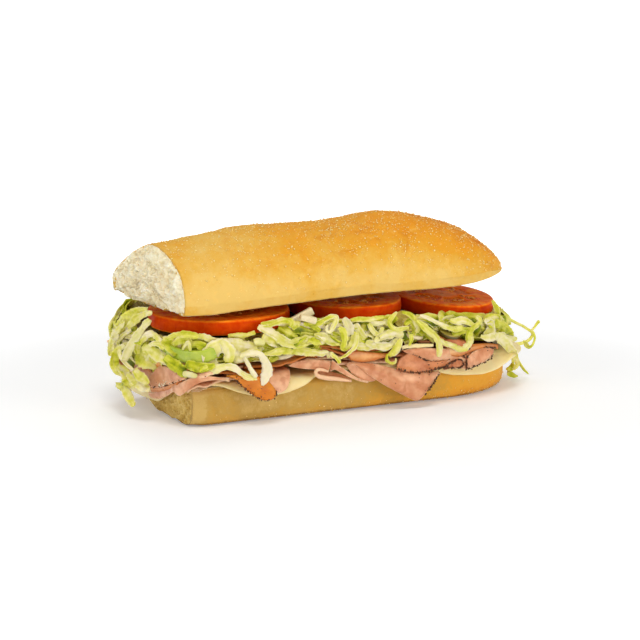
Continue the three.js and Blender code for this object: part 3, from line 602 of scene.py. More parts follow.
def bottom_bun():
    xs = np.concatenate([np.linspace(BB_X0, BB_NOSE, 116), BB_NOSE + (BB_X1 - BB_NOSE) * np.sin(np.linspace(0, PI / 2, 46)[1:-1])])
    half = bottom_ring(xs)
    X = np.broadcast_to(xs[:, None], half.shape[:2])
    right = np.stack([X, half[..., 0], half[..., 1]], -1)
    left = np.stack([X, -half[..., 0], half[..., 1]], -1)[:, ::-1][:, 1:-1]
    R = np.concatenate([right, left], 1)
    z, y = R[..., 2], R[..., 1]
    is_top = smooth(0.55, 0.9, z / BB_H) * smooth(32.6, 30.5, np.abs(y))
    c = np.array([0, 0, 8.0])
    out = unit(np.stack([smooth(40, 77, R[..., 0]) * (R[..., 0] - 30) / 40, y / 30, (z - 7) / 14], -1))
    bottom = smooth(1.2, 0.0, z)
    d = 0.45 * fbm(R / 16, 3, 2) + 0.16 * fbm(R / 4.2, 3, 5)
    d = d * (1 - bottom) * (1 - is_top) + is_top * (0.5 * crumb_relief(R[..., :2], 3) - 0.2)
    # a soft crease beside the cut end and shallow dents along the front
    d -= 0.9 * np.exp(-(((R[..., 0] + 66 + 0.15 * z) / 1.6) ** 2)) * smooth(1, 6, z) * smooth(15.5, 12, z) * (y < 0)
    R = R + out * d[..., None]
    near = smooth(-68, -77, R[..., 0])
    R[..., 1] = np.where(R[..., 1] < 0, R[..., 1] + 2.6 * near**2, R[..., 1] - 1.2 * near**2)
    R[..., 2] = np.maximum(R[..., 2], 0.0)
    torn = 5.0 * smooth(3, 15, R[..., 1]) * smooth(33, 24, R[..., 1]) + 1.1 * noise(np.stack([R[..., 1] / 4.5, R[..., 0] / 7, 0 * z], -1), 6) + 0.6
    R[..., 2] += np.maximum(torn, 0) * smooth(-67, -76, R[..., 0]) * smooth(12, 0, R[..., 2]) * smooth(-30, -20, R[..., 1])
    bake = 0.12 - 0.4 * np.exp(-(((R[..., 0] + 76) / 3.4) ** 2)) + 0.5 * smooth(-30, 70, R[..., 0]) + 0.2 * smooth(6, 0, z)
    V, F = rings(R, (BB_X0 + 1.5, 0, 7.5), (BB_X1 - 0.1, 0, 8.4))
    # the crust's own end stands a little over the crumb
    m = R.shape[1]
    bake = np.concatenate([bake.ravel(), [0.2, 0.6]])
    o = build("bread_bottom", V, F, M_BASE, "bread", ["bun_bottom"], {"bake": bake})
    # which faces are soft crumb
    o.data.materials.append(M_CRUMB)
    # crumb tone from the relief of the top face: painted shade in the pits, painted light on the raised parts
    pit = np.concatenate([(0.55 + 0.3 * crumb_relief(R[..., :2], 3) * is_top).ravel(), [0.5, 0.5]])
    a = o.data.attributes.new("pit", "FLOAT", "POINT")
    a.data.foreach_set("value", pit.astype(np.float32))
    cen = np.zeros(len(o.data.polygons) * 3, np.float32)
    o.data.polygons.foreach_get("center", cen)
    cen = cen.reshape(-1, 3) * 1000
    o.data.polygons.foreach_set("material_index", ((cen[:, 2] > 14.2) & (np.abs(cen[:, 1]) < 31.0 * np.sqrt(np.clip(1 - np.clip((cen[:, 0] - 38) / 39, 0, 1) ** 2, 0.02, 1)))).astype(np.int32))
    return R


def crumb_cap(name, ring, bulge, seed, relief=0.85, flip=1.0, material=None):
    """soft crumb that fills a cut end; ring (m, 3) is the crust's outline there, and the crumb bulges towards -X"""
    m = len(ring)
    n = 50
    up = np.linspace(0, 1, m, endpoint=False)
    closed = np.concatenate([ring, ring[:1]])
    seg = np.linalg.norm(np.diff(closed, axis=0), axis=1)
    s = np.concatenate([[0], np.cumsum(seg)])
    want = np.linspace(0, s[-1], 264, endpoint=False)
    B = np.stack([np.interp(want, s, closed[:, k]) for k in range(3)], -1)
    c = B.mean(0)
    rho = np.concatenate([[0.975, 0.985], np.linspace(0.985, 0.012, n)])
    depth = np.concatenate([[2.6, 0.9], np.zeros(n)])
    P = c + (B - c)[None] * rho[:, None, None]
    P[..., 0] += depth[:, None]
    rel = crumb_relief(P[..., 1:3], seed)
    soft = smooth(1.0, 0.9, rho)[:, None]
    d = bulge * (1 - rho[:, None] ** 6) + relief * rel * (0.35 + 0.65 * soft) - 0.15
    d[0] = 0
    d[1] *= 0.4
    P[..., 0] -= d * flip
    wob = 0.35 * np.stack([0 * rel, noise(P / 1.4, seed + 3), noise(P / 1.4, seed + 4)], -1)
    P = P + wob * soft[..., None]
    V, F = rings(P, P[0].mean(0) + [4, 0, 0], P[-1].mean(0))
    # crumb tone from the relief: painted shade in the pits, painted light on the bulges
    pit = 0.62 + 0.42 * rel
    build(name, V, F, material or M_CRUMB, "bread", (), {"pit": np.concatenate([pit.ravel(), [0.5, 0.5]])})


bottom_R = bottom_bun()
# the bottom bun's cut end takes the darker crumb colours: painted shade
crumb_cap("crumb_end_bottom", bottom_R[0], 0.9, 21, 0.5, material=M_END)


# ================================================================= top bun
def top_shape(x):
    t = np.clip((x - TB_NOSE) / (TB_X1 - TB_NOSE), 0, 1)
    k = np.sqrt(np.clip(1 - t**2.4, 0, 1))
    w = (TB_W + 0.5 * wobble(x / 26, 1, 2)) * k
    rim, crest = curve(TB_RIM, x), curve(TB_CREST, x)
    belly = np.minimum(TB_BELLY, 0.25 * (crest - rim)) * k
    narrow = 1 - (TB_NARROW / TB_W) * (1 - smooth(-80, -30, x))
    return k, w, rim, crest, belly, narrow


def front_drop(x):
    return curve([(-84, 1.1), (-70, 1.7), (-58, 1.1), (-40, 0.6), (-10, 0.3), (20, 0.5), (50, 0.7), (70, 0.2), (76, 0)], x)


def top_skin(x, s):
    """point of the crust at station x and share s of the arc, 0 at the front edge and 1 at the back"""
    k, w, rim, crest, belly, narrow = top_shape(x)
    c, sn = np.cos(s * PI), np.clip(np.sin(s * PI), 0, 1)
    y = -w * np.sign(c) * np.abs(c) ** 1.12
    z = rim + belly + (crest - rim - belly) * sn**1.02
    z = z - front_drop(x) * smooth(0.16, 0.0, s)
    y = np.where(y > 0, y * narrow, y) - TB_LEAN * k * sn**2
    # the back of the cut end is pressed down to a slope
    q = np.where(s > 0.5, np.abs(c) ** 1.12, 0.0)
    z = mix(z, crest + (rim + belly - crest) * q**1.35, 0.6 * smooth(-40, -78, x) * smooth(0.48, 0.6, s))
    skew = TB_SKEW * np.clip((-66 - x) / 15, 0, 1)
    return np.stack([x - skew * (y + TB_W), y, z], -1)


def crust_push(P, N):
    """how far the crust stands out of its plain form"""
    d = 0.75 * fbm(P / 22, 2, 31) + 0.32 * fbm(P / 7.5, 3, 33) + 0.10 * fbm(P / 2.2, 3, 35)
    return P + N * d[..., None]


def top_bun():
    nb = 44
    xs = np.concatenate([np.linspace(TB_X0, TB_NOSE, 126), TB_NOSE + (TB_X1 - TB_NOSE) * (1 - np.cos(np.linspace(0, PI / 2, nb)) ** 2) ** (1 / 2.4)])
    xs = np.unique(np.round(xs[:-1], 4))
    S = np.linspace(0, 1, 106)
    X, SS = np.meshgrid(xs, S, indexing="ij")
    skin = top_skin(X, SS)
    du = np.gradient(skin, axis=0)
    dv = np.gradient(skin, axis=1)
    N = unit(np.cross(du, dv))
    N *= np.sign(N[..., 2:3].mean())
    flat = smooth(0.0, 0.06, SS) * smooth(1.0, 0.94, SS)
    bumped = crust_push(skin, N)
    skin2 = mix(skin, bumped, (0.35 + 0.65 * flat)[..., None])
    k, w, rim, crest, belly, narrow = top_shape(xs)
    edge, sag = w - TB_TUCK * k, TB_SAG * k
    rows = [(0 * w, -sag), (0.5 * w, -0.8 * sag), (0.86 * edge, -0.2 * sag), (edge, 0 * w), (w - 0.4 * TB_TUCK * k, 0.4 * belly), (w, belly)]
    U = np.array([np.stack(p, -1) for p in rows])
    half = np.moveaxis(even(U, np.linspace(0, 1, 34)), 0, 1)  # centre to edge
    skew = (TB_SKEW * np.clip((-66 - xs) / 15, 0, 1))[:, None]

    def side(sign_):
        y = half[..., 0] * sign_
        y = np.where(y > 0, y * narrow[:, None], y)
        z = rim[:, None] + half[..., 1]
        if sign_ < 0:
            z = z - front_drop(xs)[:, None] * smooth(-0.55 * TB_W, -0.95 * TB_W, y)
        return np.stack([xs[:, None] - skew * (y + TB_W), y, z], -1)

    front = side(-1)[:, :-1]  # centre -> front edge
    back = side(1)[:, ::-1][:, 1:-1]
    under = lambda A: A + np.stack([0 * A[..., 0], 0 * A[..., 0], -0.6 * (crumb_relief(A[..., :2], 8) * smooth(0, 6, (w[:, None] - np.abs(A[..., 1]))))], -1)
    R = np.concatenate([under(front), skin2, under(back)], 1)
    nf, ns = front.shape[1], len(S)
    sn = np.sin(S * PI)[None]
    P = skin
    hz = (P[..., 2] - rim[:, None]) / (crest - rim)[:, None]
    bake = 0.08 + 0.5 * smooth(0.15, 1.0, hz) + 0.3 * smooth(20, 76, P[..., 0]) - 0.16 * smooth(-20, -80, P[..., 0]) - 0.2 * smooth(30, -60, P[..., 0]) * smooth(0.5, 0.9, hz) + 0.2 * np.exp(-(((P[..., 0] - 28) / 22) ** 2)) * smooth(0.4, 0.9, hz)
    b = np.zeros(R.shape[:2]) + 0.1
    b[:, nf : nf + ns] = bake
    V, F = rings(R, R[0].mean(0) + [2.2, 0, 0], (TB_X1, 0, 49.2))
    rel = crumb_relief(R[..., :2], 8)
    # the crumb tone given here follows the crumb's relief: painted light and shade
    o = build("bread_top", V, F, M_CRUST, "bread", ["bun_top"], {"bake": np.concatenate([b.ravel(), [0, 1]]), "pit": np.concatenate([(0.55 - 0.35 * rel).ravel(), [0.5, 0.5]])})
    o.data.materials.append(M_CRUMB)
    n, m = R.shape[:2]
    idx = np.zeros((n - 1, m), np.int32)
    idx[:, : nf - 13] = 1
    idx[:, nf + ns + 12 :] = 1
    full = np.zeros(len(o.data.polygons), np.int32)
    full[: idx.size] = idx.ravel()
    o.data.polygons.foreach_set("material_index", full)
    return R


top_R = top_bun()
crumb_cap("crumb_end_top", top_R[0], 1.1, 5, 1.15)


def meal():
    """cornmeal on the crusts: most of it over the crest"""
    rng = np.random.default_rng(3)
    n = 9800
    x = rng.uniform(TB_X0 + 0.5, TB_X1 - 1.2, n)
    s = rng.uniform(0.02, 0.98, n)
    dens = 0.26 + 0.74 * smooth(0.08, 0.3, s) * smooth(0.98, 0.8, s)
    dens *= 0.45 + 0.55 * smooth(0.38, 0.6, 0.5 + 0.5 * noise(np.stack([x / 11, s * 8, 0 * x], -1), 4))
    dens *= 0.65 + 0.35 * smooth(-70, 10, x)
    keep = rng.uniform(0, 1, n) < dens
    x, s = x[keep], s[keep]
    P = top_skin(x, s)
    e = 1e-3
    N = unit(np.cross(top_skin(x + 0.05, s) - P, top_skin(x, np.clip(s + e, 0, 1)) - P))
    N *= np.sign(N[:, 2:3] + 1e-6 * 0)
    N = np.where(N[:, 2:3] < 0, -N, N)
    P = crust_push(P, N)
    size = np.clip(rng.lognormal(math.log(0.23), 0.42, len(P)), 0.1, 0.52)
    j = Join()
    j.add(*grains(rng, P, N, size, 0.75, 0.1, ico=False))
    # along the foot of the bottom bun, and a little on its side
    n = 1700
    x = rng.uniform(-72, 74, n)
    h = bottom_ring(x)
    pick = np.clip(rng.beta(1.3, 3.0, n), 0, 1)
    i = (BB_HALF * (0.13 + 0.42 * pick)).astype(int)
    k = np.arange(n)
    y, z = h[k, i, 0], h[k, i, 1]
    sg = np.where(rng.uniform(0, 1, n) < 0.55, -1.0, 1.0)
    P = np.stack([x, sg * y, z], -1)
    y2, z2 = h[k, i + 1, 0], h[k, i + 1, 1]
    N = unit(np.stack([0 * x, sg * (z2 - z), -(y2 - y)], -1))
    keep = rng.uniform(0, 1, n) < 0.25 + 0.75 * smooth(0, 70, x)
    size = np.clip(rng.lognormal(math.log(0.22), 0.4, n), 0.1, 0.5)
    P = P + N * 0.15
    P[:, 2] = np.maximum(P[:, 2], size)
    V, F = grains(rng, P[keep], N[keep], size[keep], 0.8, 0.1, ico=False)
    V[:, 2] = np.maximum(V[:, 2], 0.02)
    j.add(V, F)
    j.build("cornmeal", M_MEAL, slot="bread")


meal()


# ================================================================= slices laid over the bottom bun
def rim_distance(x, y):
    s = np.where(y < 0, -1.0, 1.0)
    a = BB_X1 - BB_NOSE
    u = x - BB_NOSE
    r = np.maximum(np.hypot(u / a, y / BB_W), 1e-6)
    g = np.maximum(np.hypot(u / (a * a), y / (BB_W * BB_W)), 1e-9)
    qn, gxn, gyn = np.hypot(u, y) * (1 - 1 / r), u / (a * a) / g, y / (BB_W * BB_W) / g
    dx, dy = BB_X0 - x, np.abs(y) - BB_W
    corner = (dx > -3) & (dy > -3)
    l = np.maximum(np.hypot(dx + 3, dy + 3), 1e-9)
    q = np.where(corner, l - 3, np.where(dx > dy, dx, dy))
    gx = np.where(corner, -(dx + 3) / l, np.where(dx > dy, -1, 0))
    gy = np.where(corner, s * (dy + 3) / l, np.where(dx > dy, 0, s))
    nose = x > BB_NOSE
    return np.where(nose, qn, q), np.where(nose, gxn, gx), np.where(nose, gyn, gy)


class Slice:
    def __init__(self, prof, lift, f, b, out=3.0, t=MEAT_T, r=3.0, bend=74, keep=0.35, loop=0, skew=0, jag=0.5, wave=0.35, seed=0, v_full=True, **_):
        self.__dict__.update(prof=np.array(prof, float), lift=lift, f=f, b=b, out=out, t=t, r=r, bend=math.radians(bend), keep=keep, loop=loop, skew=skew, jag=jag, wave=wave, seed=seed)
        self.back = np.stack([self.prof[:, 0], self.prof[::-1, 1]], -1)
        p = even(self.prof, np.linspace(0, 1, 80))
        self.len = np.linalg.norm(np.diff(p, axis=0), axis=1).sum()

    def section(self, u, v):
        p = even(self.prof, u)
        hb = p[..., 1] if self.loop else even(self.back, u)[..., 1]
        k = self.keep + (1 - self.keep) * np.abs(2 * v - 1) ** 1.3
        return np.stack([p[..., 0] + self.skew * (v - 0.5) * 10, self.lift + (mix(p[..., 1], hb, v) - self.lift) * k], -1)

    def point(self, u, v, off):
        """off may be an array: height over the slice's underside"""
        p = self.section(u, v)
        e = 0.01
        p0, p1 = self.section(np.maximum(0, u - e), v), self.section(np.minimum(1, u + e), v)
        d = unit(p1 - p0)
        nx, nh = -d[..., 1], d[..., 0]
        q3 = np.stack([u * self.len / 5.5, 0 * u, 0 * u + self.seed * 3.1], -1)
        q4 = q3 + [0, 50, 0]
        jf = self.jag * (noise(q3, 3) + 0.5 * noise(q3 * 2.7, 5))
        jb = self.jag * (noise(q4, 3) + 0.5 * noise(q4 * 2.7, 5))
        y = mix(-even(self.f, u) - jf, even(self.b, u) + jb, v)
        w = self.wave * fbm(np.stack([p[..., 0] / 9, y / 12, 0 * u + self.seed], -1), 2, 12)
        off = off + w
        x = p[..., 0] + nx * off
        h = p[..., 1] + nh * off - self.lift
        q, gx, gy = rim_distance(x, y)
        bend = self.bend * mix(1, 0.3, smooth(50, 70, x))
        q0 = self.out - self.r * np.sin(bend)
        over = q - q0
        th = np.clip(over / self.r, 0, bend)
        rest = np.maximum(0, over - self.r * bend)
        go = self.r * np.sin(th) + rest * np.cos(bend) + h * np.sin(th) - over
        drop = self.r * (1 - np.cos(th)) + rest * np.sin(bend)
        flat_ = over <= 0
        go = np.where(flat_, 0, go)
        return np.stack([x + gx * go, y + gy * go, np.where(flat_, BB_H + self.lift + h, BB_H + self.lift - drop + h * np.cos(th))], -1)

    def grid(self, nu):
        e = np.array([0, 0.12, 0.35, 0.8, 1.5]) / self.len
        us = np.concatenate([e, np.linspace(2.4 / self.len, 1 - 2.4 / self.len, nu), 1 - e[::-1]])
        ev = np.array([0, 0.12, 0.35, 0.8, 1.5, 2.4, 3.4, 4.6, 6, 7.6, 9.4, 11.5, 14, 17, 21, 26]) / 74
        vs = np.concatenate([ev, [0.5], 1 - ev[::-1]])
        return np.meshgrid(us, vs, indexing="ij")

    def mesh(self, nu):
        U, V = self.grid(nu)
        d = np.minimum(np.minimum(U, 1 - U) * self.len, np.minimum(V, 1 - V) * 72)
        tau = np.sqrt(np.clip(1 - (1 - np.minimum(d / (0.5 * self.t), 1)) ** 2, 0.03, 1))
        lo = self.point(U, V, self.t * (0.5 - 0.5 * tau))
        hi = self.point(U, V, self.t * (0.5 + 0.5 * tau))
        P, F = slab(lo, hi)
        return P, F, np.concatenate([d.ravel(), d.ravel()])


def flat(x0, x1, h0, h1=None, n=5):
    h1 = h0 if h1 is None else h1
    return [[mix(x0, x1, i / (n - 1)), mix(h0, h1, i / (n - 1))] for i in range(n)]


def round_(cx, cy, r, x0, x1, n=24):
    return [cy + math.sqrt(max(1, r * r - (mix(x0, x1, i / n) - cx) ** 2)) for i in range(n + 1)]


def put_slice(name, node, material, slot, sl, nu):
    P, F, d = sl.mesh(nu)
    return build(name, P, F, material, slot, [node], {"rim": d})


for i, (node, cx, cy, x0, x1, h, out) in enumerate([("cheese_1", -45, 0, -80.5, -6, 0.4, 1.4), ("cheese_3", 43, 2, 7, 82.5, 0.4, 1.6), ("cheese_2", 5, 2.6, -34, 44, 2.3, 3.2)]):
    sl = Slice(flat(x0, x1, h, h, 9), h, round_(cx, -cy - (2.4 if i == 0 else 0), CHEESE_R, x0, x1), round_(cx, cy, CHEESE_R, x0, x1), out=out, t=CHEESE_T, keep=1, jag=0.15, wave=0.12, seed=40 + i)
    put_slice("slice_" + node, node, M_CHEESE, "cheese", sl, 64)

HAM, PEP, TUR, TON = ("ham", M_HAM), ("peppered_ham", M_PEPPERED), ("turkey", M_TURKEY), ("turkey", M_TONGUE)
MEATS = [
    ("ham_1", HAM, [[-81, 2.2], [-74, 2.2], [-66, 2.3], [-58, 2.3], [-50, 2.4], [-42, 2.3]], 2.2, [33.5, 35.6, 33.8, 33.2, 33.4, 33], [34, 37, 36, 33, 34, 31], 3, {}),
    ("ham_2", HAM, [[-62, 3.8], [-55, 3.7], [-48, 3.6], [-41, 3.8], [-37, 4.4]], 3.6, [34, 38, 42.5, 42.5, 35], [33, 36, 38, 35, 32], 4.3, {}),
    ("turkey_1", TON, [[-70, 6.4], [-64, 5.4], [-58, 5], [-51, 5], [-44, 5.2]], 5, [33.5, 35, 36.5, 38, 36], [32, 35, 34, 36, 33], 5.7, {}),
    ("ham_3", HAM, [[-83, 4.4], [-79, 5.6], [-75.5, 8.4], [-72, 9.3], [-68, 8.2], [-62, 6.9], [-55, 6.5]], 6.3, [31, 36, 38, 37.5, 36, 34, 32], [30, 34, 35, 36, 35, 33, 30], 5, {}),
    ("turkey_2", TUR, [[-56, 6.6], [-46, 6.5], [-37, 7.6], [-29, 9.2], [-22, 9.6]], 6.6, [33, 35, 35.5, 35, 32], [31, 34, 35, 34, 31], 4, {}),
    ("turkey_3", TUR, [[-86, 8.6], [-80, 10], [-74, 11.6], [-68, 10.6], [-60, 8.4], [-50, 8.2]], 8, [30, 34, 35, 34, 33, 30], [30, 34, 36, 34, 33, 30], 4, {}),
    ("ham_4", HAM, [[-8, 5.6], [-19, 5.5], [-27, 5.5], [-29.8, 5.8], [-30.6, 6.7], [-29.4, 7.5], [-26, 7.3], [-20, 7.1], [-12, 7.1]], 6.2, [37, 36, 35.5, 35, 35, 35, 35, 35, 35.5], [35, 35, 35, 34, 34, 34, 34, 34, 33], 5, {"keep": 1, "loop": 1, "wave": 0.1}),
    ("turkey_4", TUR, [[-36, 9], [-30, 8.9], [-26.4, 8.4], [-25, 8.1], [-23.6, 9.4], [-22, 11.4], [-19, 10.4], [-14, 8.6], [-9, 7.4], [-5, 7.2]], 8.4, [33, 34.5, 35, 35, 35, 35, 35.5, 36.5, 39, 38], [31, 34, 35, 35, 35, 35, 34, 34, 33, 31], 5.4, {}),
    ("ham_5", HAM, [[-15, 6.6], [-7, 5], [1, 4.1], [9, 4.1], [17, 4.1], [25, 4.1], [33, 4.1]], 4.1, [34, 35.5, 36.5, 37.5, 38, 37.5, 34], [31, 35, 37, 39, 37, 35, 32], 4.6, {}),
    ("ham_6", PEP, [[33, 6.9], [26, 6.8], [18, 6.8], [10, 6.9], [8, 7.7], [9, 8.7], [14, 9.1], [21, 8.9], [27, 8.6]], 7.6, [38, 40.5, 40.5, 38.5, 37.5, 37, 36.5, 36, 35.5], [34, 36, 36, 35, 34, 34, 34, 34, 33], 6.2, {"keep": 1, "loop": 1, "wave": 0.1}),
    ("ham_7", PEP, [[20, 10.4], [27, 10.1], [33, 9.2], [36.4, 8], [36.2, 6.4], [33.8, 5.8]], 7.8, [36, 37, 37.5, 38, 38, 38], [34, 34, 34, 34, 34, 33], 5.6, {"keep": 1, "loop": 1, "wave": 0.1}),
    ("ham_8", PEP, [[37.4, 4.2], [42, 4.2], [48, 4.4], [55, 4.2], [61, 3.4]], 3.9, [37.5, 38.5, 36, 33, 28], [35, 35, 33, 30, 26], 5, {}),
    ("turkey_5", TUR, [[-33, 11], [-26, 12.3], [-20, 12.4], [-12, 11.2], [-4, 9.6], [4, 8.6], [12, 10.2], [19, 11.4]], 10.6, [33, 35, 36.5, 38, 38, 37, 35.5, 33], [31, 34, 35, 35, 34, 34, 34, 31], 5.2, {}),
    ("turkey_6", TUR, [[24, 11.6], [30, 11.2], [37, 9.8], [43, 8.2], [50, 7.4], [57, 6.4]], 8.6, [34, 36, 36.5, 35.5, 31, 25], [32, 34, 34, 33, 30, 24], 4.5, {}),
]
SL = {}
for i, (node, (slot, mat), prof, lift, f, b, out, extra) in enumerate(MEATS):
    SL[node] = Slice(prof, lift, f, b, out=out, seed=i + 1, **extra)
    put_slice("slice_" + node, node, mat, slot, SL[node], 42)


# the curl of ham that sticks out of the cut end
def curl_end():
    C = [[25, 25.5], [21, 22.5], [19.6, 18.6], [16, 15.9], [8, 16.2], [0, 18.4], [-7, 21.4]]
    U, V = np.meshgrid(np.linspace(0, 1, 90), np.linspace(0, 1, 16), indexing="ij")
    p = even(C, U)
    d = unit(even(C, np.minimum(1, U + 0.01)) - even(C, np.maximum(0, U - 0.01)))
    x = mix(-89 + 2 * np.sin(3 * U) + 0.5 * noise(np.stack([U * 9, 0 * U, 0 * U], -1), 2), -82.4, V)
    ed = np.minimum(V * 6.6, np.minimum(U, 1 - U) * 42)
    tau = np.sqrt(np.clip(1 - (1 - np.minimum(ed / 0.55, 1)) ** 2, 0.03, 1))
    wv = 0.3 * noise(np.stack([U * 6, V * 2, 0 * U], -1), 6)

    def at(off):
        return np.stack([x, p[..., 0] + off * d[..., 1], p[..., 1] - off * d[..., 0]], -1)

    P, F = slab(at(wv + MEAT_T * (0.5 - 0.5 * tau)), at(wv + MEAT_T * (0.5 + 0.5 * tau)))
    build("slice_ham_9", P, F, M_HAM, "ham", ["ham_9"], {"rim": np.concatenate([ed.ravel(), ed.ravel()])})


curl_end()


def pepper():
    """ground pepper pressed into the rims"""
    rng = np.random.default_rng(9)
    j = Join()
    # node, count, u from-to, share of the count within the rim, rim width mm
    for node, n, u0, u1, deep, wid in [("ham_3", 34, 0.05, 0.6, 0.4, 2.2), ("turkey_1", 30, 0.3, 1.0, 0.3, 0.9), ("ham_5", 40, 0.82, 1.0, 0.08, 0.6), ("ham_6", 220, 0.0, 0.5, 0.1, 0.8), ("ham_6", 110, 0.5, 1.0, 0.12, 0.9), ("ham_7", 140, 0.1, 1.0, 0.1, 0.9), ("ham_8", 170, 0.0, 1.0, 0.1, 0.9), ("ham_2", 6, 0.6, 1.0, 0.5, 1.5), ("ham_4", 24, 0.0, 0.4, 0.5, 1.2), ("turkey_4", 6, 0.6, 1.0, 0.5, 1.4)]:
        sl = SL[node]
        for front in (True, False):
            m = n if front else n // 2
            u = rng.uniform(u0, u1, m)
            d = np.where(rng.uniform(0, 1, m) < deep, rng.uniform(0, 7, m) ** 1.0, np.abs(rng.normal(0, wid * 0.6, m)))
            v = np.clip(d / 72, 0, 0.4)
            v = v if front else 1 - v
            P = sl.point(u, v, np.where(d < 0.3, sl.t * rng.uniform(0.3, 1, m), sl.t))
            a = sl.point(np.clip(u + 0.004, 0, 1), v, sl.t) - sl.point(np.clip(u - 0.004, 0, 1), v, sl.t)
            b = sl.point(u, np.clip(v + 0.004, 0, 1), sl.t) - sl.point(u, np.clip(v - 0.004, 0, 1), sl.t)
            N = unit(np.cross(a, b))
            N = N * np.sign(np.einsum("ij,ij->i", N, P - sl.point(u, v, 0.0)))[:, None]
            size = np.clip(rng.lognormal(math.log(0.24), 0.4, m), 0.12, 0.55)
            j.add(*grains(rng, P, N, size, 0.7, 0.25, ico=True))
        # the ends of the slice, where they show
        if node in ("ham_5", "ham_8", "turkey_1", "ham_7"):
            m = n // 3
            v = rng.uniform(0, 0.16, m)
            u = 1 - np.abs(rng.normal(0, 0.5, m)) / sl.len
            P = sl.point(u, v, sl.t)
            P0 = sl.point(u, v, 0.0)
            size = np.clip(rng.lognormal(math.log(0.24), 0.4, m), 0.12, 0.5)
            j.add(*grains(rng, P, unit(P - P0), size, 0.7, 0.3))
    j.build("ground_pepper", M_GRAIN, slot="peppered_ham")


pepper()


# ================================================================= tomatoes and other round slices
def disc(c, r, t, lean_x, lean_y, seed, skin=0.8, uneven=0.02, n=116, locules=7, depth=1.0, relief=0.35):
    """a round slice with a cut face on both sides"""
    side = 12
    rr = np.concatenate([np.linspace(0.02, 1, 31)[:-1]])
    prof = [(q * (r - skin), 0.0, q, 0.0) for q in rr]
    for a in np.linspace(-PI / 2, PI / 2, side):
        prof.append((r - skin + skin * math.cos(a) ** 0.8 if abs(a) < PI / 2 - 1e-6 else r - skin, t / 2 + (t / 2) * math.copysign(abs(math.sin(a)) ** 0.75, a), 1.0, 1.0))
    prof += [(q * (r - skin), t, q, 0.0) for q in rr[::-1]]
    prof = np.array(prof)
    A = np.linspace(0, 2 * PI, n, endpoint=False)
    a, R = np.meshgrid(A, prof[:, 0])
    Z = np.broadcast_to(prof[:, 1:2], a.shape).copy()
    Q = np.broadcast_to(prof[:, 2:3], a.shape)
    K = np.broadcast_to(prof[:, 3:4], a.shape)
    R = R * (1 + uneven * wobble(2 * np.cos(a), 2 * np.sin(a), seed))
    # seed chambers between the outer wall and the core
    ph = a + 0.5 * noise(np.stack([np.cos(a) * 1.3, np.sin(a) * 1.3, Q * 1.5 + seed], -1), seed)
    sect = np.abs(np.sin(ph * locules / 2))
    gel = smooth(0.3, 0.5, sect) * smooth(0.72, 0.64, Q + 0.05 * noise(np.stack([np.cos(a) * 3, np.sin(a) * 3, 0 * a + seed], -1), seed)) * smooth(0.26, 0.36, Q) * (K < 0.5)
    core = smooth(0.34, 0.2, Q) * (K < 0.5)
    P = np.stack([R * np.cos(a), R * np.sin(a), Z], -1)
    up = np.where(Z > t / 2, 1.0, -1.0) * (K < 0.5)
    P[..., 2] += up * (-relief * gel * depth + 0.18 * depth * fbm(np.stack([P[..., 0] / 3, P[..., 1] / 3, Z + seed], -1), 3, seed))
    skin_side = smooth(0.0, 0.25, K) * smooth(0.0, 0.12 * t, Z) * smooth(t, 0.88 * t, Z) + 0 * a
    P[..., :2] *= (1 + 0.004 * K * noise(np.stack([a * 6, Z * 0.6, 0 * a + seed], -1), 3))[..., None]
    cx, sx, cy, sy = math.cos(math.radians(lean_x)), math.sin(math.radians(lean_x)), math.cos(math.radians(lean_y)), math.sin(math.radians(lean_y))
    M = np.array([[1, 0, 0], [0, cx, -sx], [0, sx, cx]]) @ np.array([[cy, 0, sy], [0, 1, 0], [-sy, 0, cy]])
    P = P @ M.T + np.array(c)
    V, F = rings(P, np.array(c), M @ [0, 0, t] + np.array(c))
    at = {"skin": np.concatenate([skin_side.ravel(), [0, 0]]), "gel": np.concatenate([gel.ravel(), [0, 0]]), "core": np.concatenate([core.ravel(), [1, 1]])}
    return V, F, at, M


def tomatoes():
    rng = np.random.default_rng(21)
    seeds = Join()
    for node, c, r, t, lx, ly, seed, loc in [("tomato_1", (-54, -6, 36), 28.4, 5.8, 0.6, -0.6, 1, 8), ("tomato_3", (2, -8, 35.9), 22.8, 5.6, 0.5, 0.5, 2, 7), ("tomato_4", (46.5, -7.5, 33.6), 22, 5.5, 5, 4.5, 3, 6), ("tomato_2", (-22, 9.5, 42.4), 20.5, 4.6, 0, 0, 4, 6)]:
        V, F, at, M = disc(c, r, t, lx, ly, seed, locules=loc)
        build("slice_" + node, V, F, M_TOMATO, "tomato", [node], at)
        n = 34
        a = rng.uniform(0, 2 * PI, n)
        q = rng.uniform(0.38, 0.64, n) * (r - 0.8)
        for side_ in (0, 1):
            P = np.stack([q * np.cos(a), q * np.sin(a), np.full(n, t - 0.15 if side_ else 0.15)], -1)
            for k in range(n):
                if abs(math.sin((a[k]) * loc / 2)) < 0.4:
                    continue
                th = rng.uniform(0, 2 * PI)
                S = ICO_V * np.array([1.25, 0.8, 0.34]) * rng.uniform(0.8, 1.1)
                S[:, 1] *= 1 - 0.35 * S[:, 0] / 1.25
                Rz = np.array([[math.cos(th), -math.sin(th), 0], [math.sin(th), math.cos(th), 0], [0, 0, 1]])
                seeds.add((S @ Rz.T + P[k]) @ M.T + np.array(c), ICO_F)
    seeds.build("tomato_seeds", M_SEED, slot="tomato")


tomatoes()


def pickles():
    for node, c, r, lx, ly, seed in [("pickle_1", (16.4, -32, 33), 5.6, 38, 0, 5), ("pickle_2", (35.4, -33.4, 28), 5.4, 30, 8, 6), ("pickle_3", (-49, -31, 30.6), 5, 50, -15, 7)]:
        V, F, at, M = disc(c, r, 2.2, lx, ly, seed, skin=0.4, uneven=0.05, n=72, locules=3, relief=0.25)
        tone = 0.35 + 0.65 * at["skin"] - 0.25 * at["core"] + 0.1 * at["gel"]
        build("slice_" + node, V, F, M_PICKLE, "pickle", [node], {"tone": tone})


pickles()


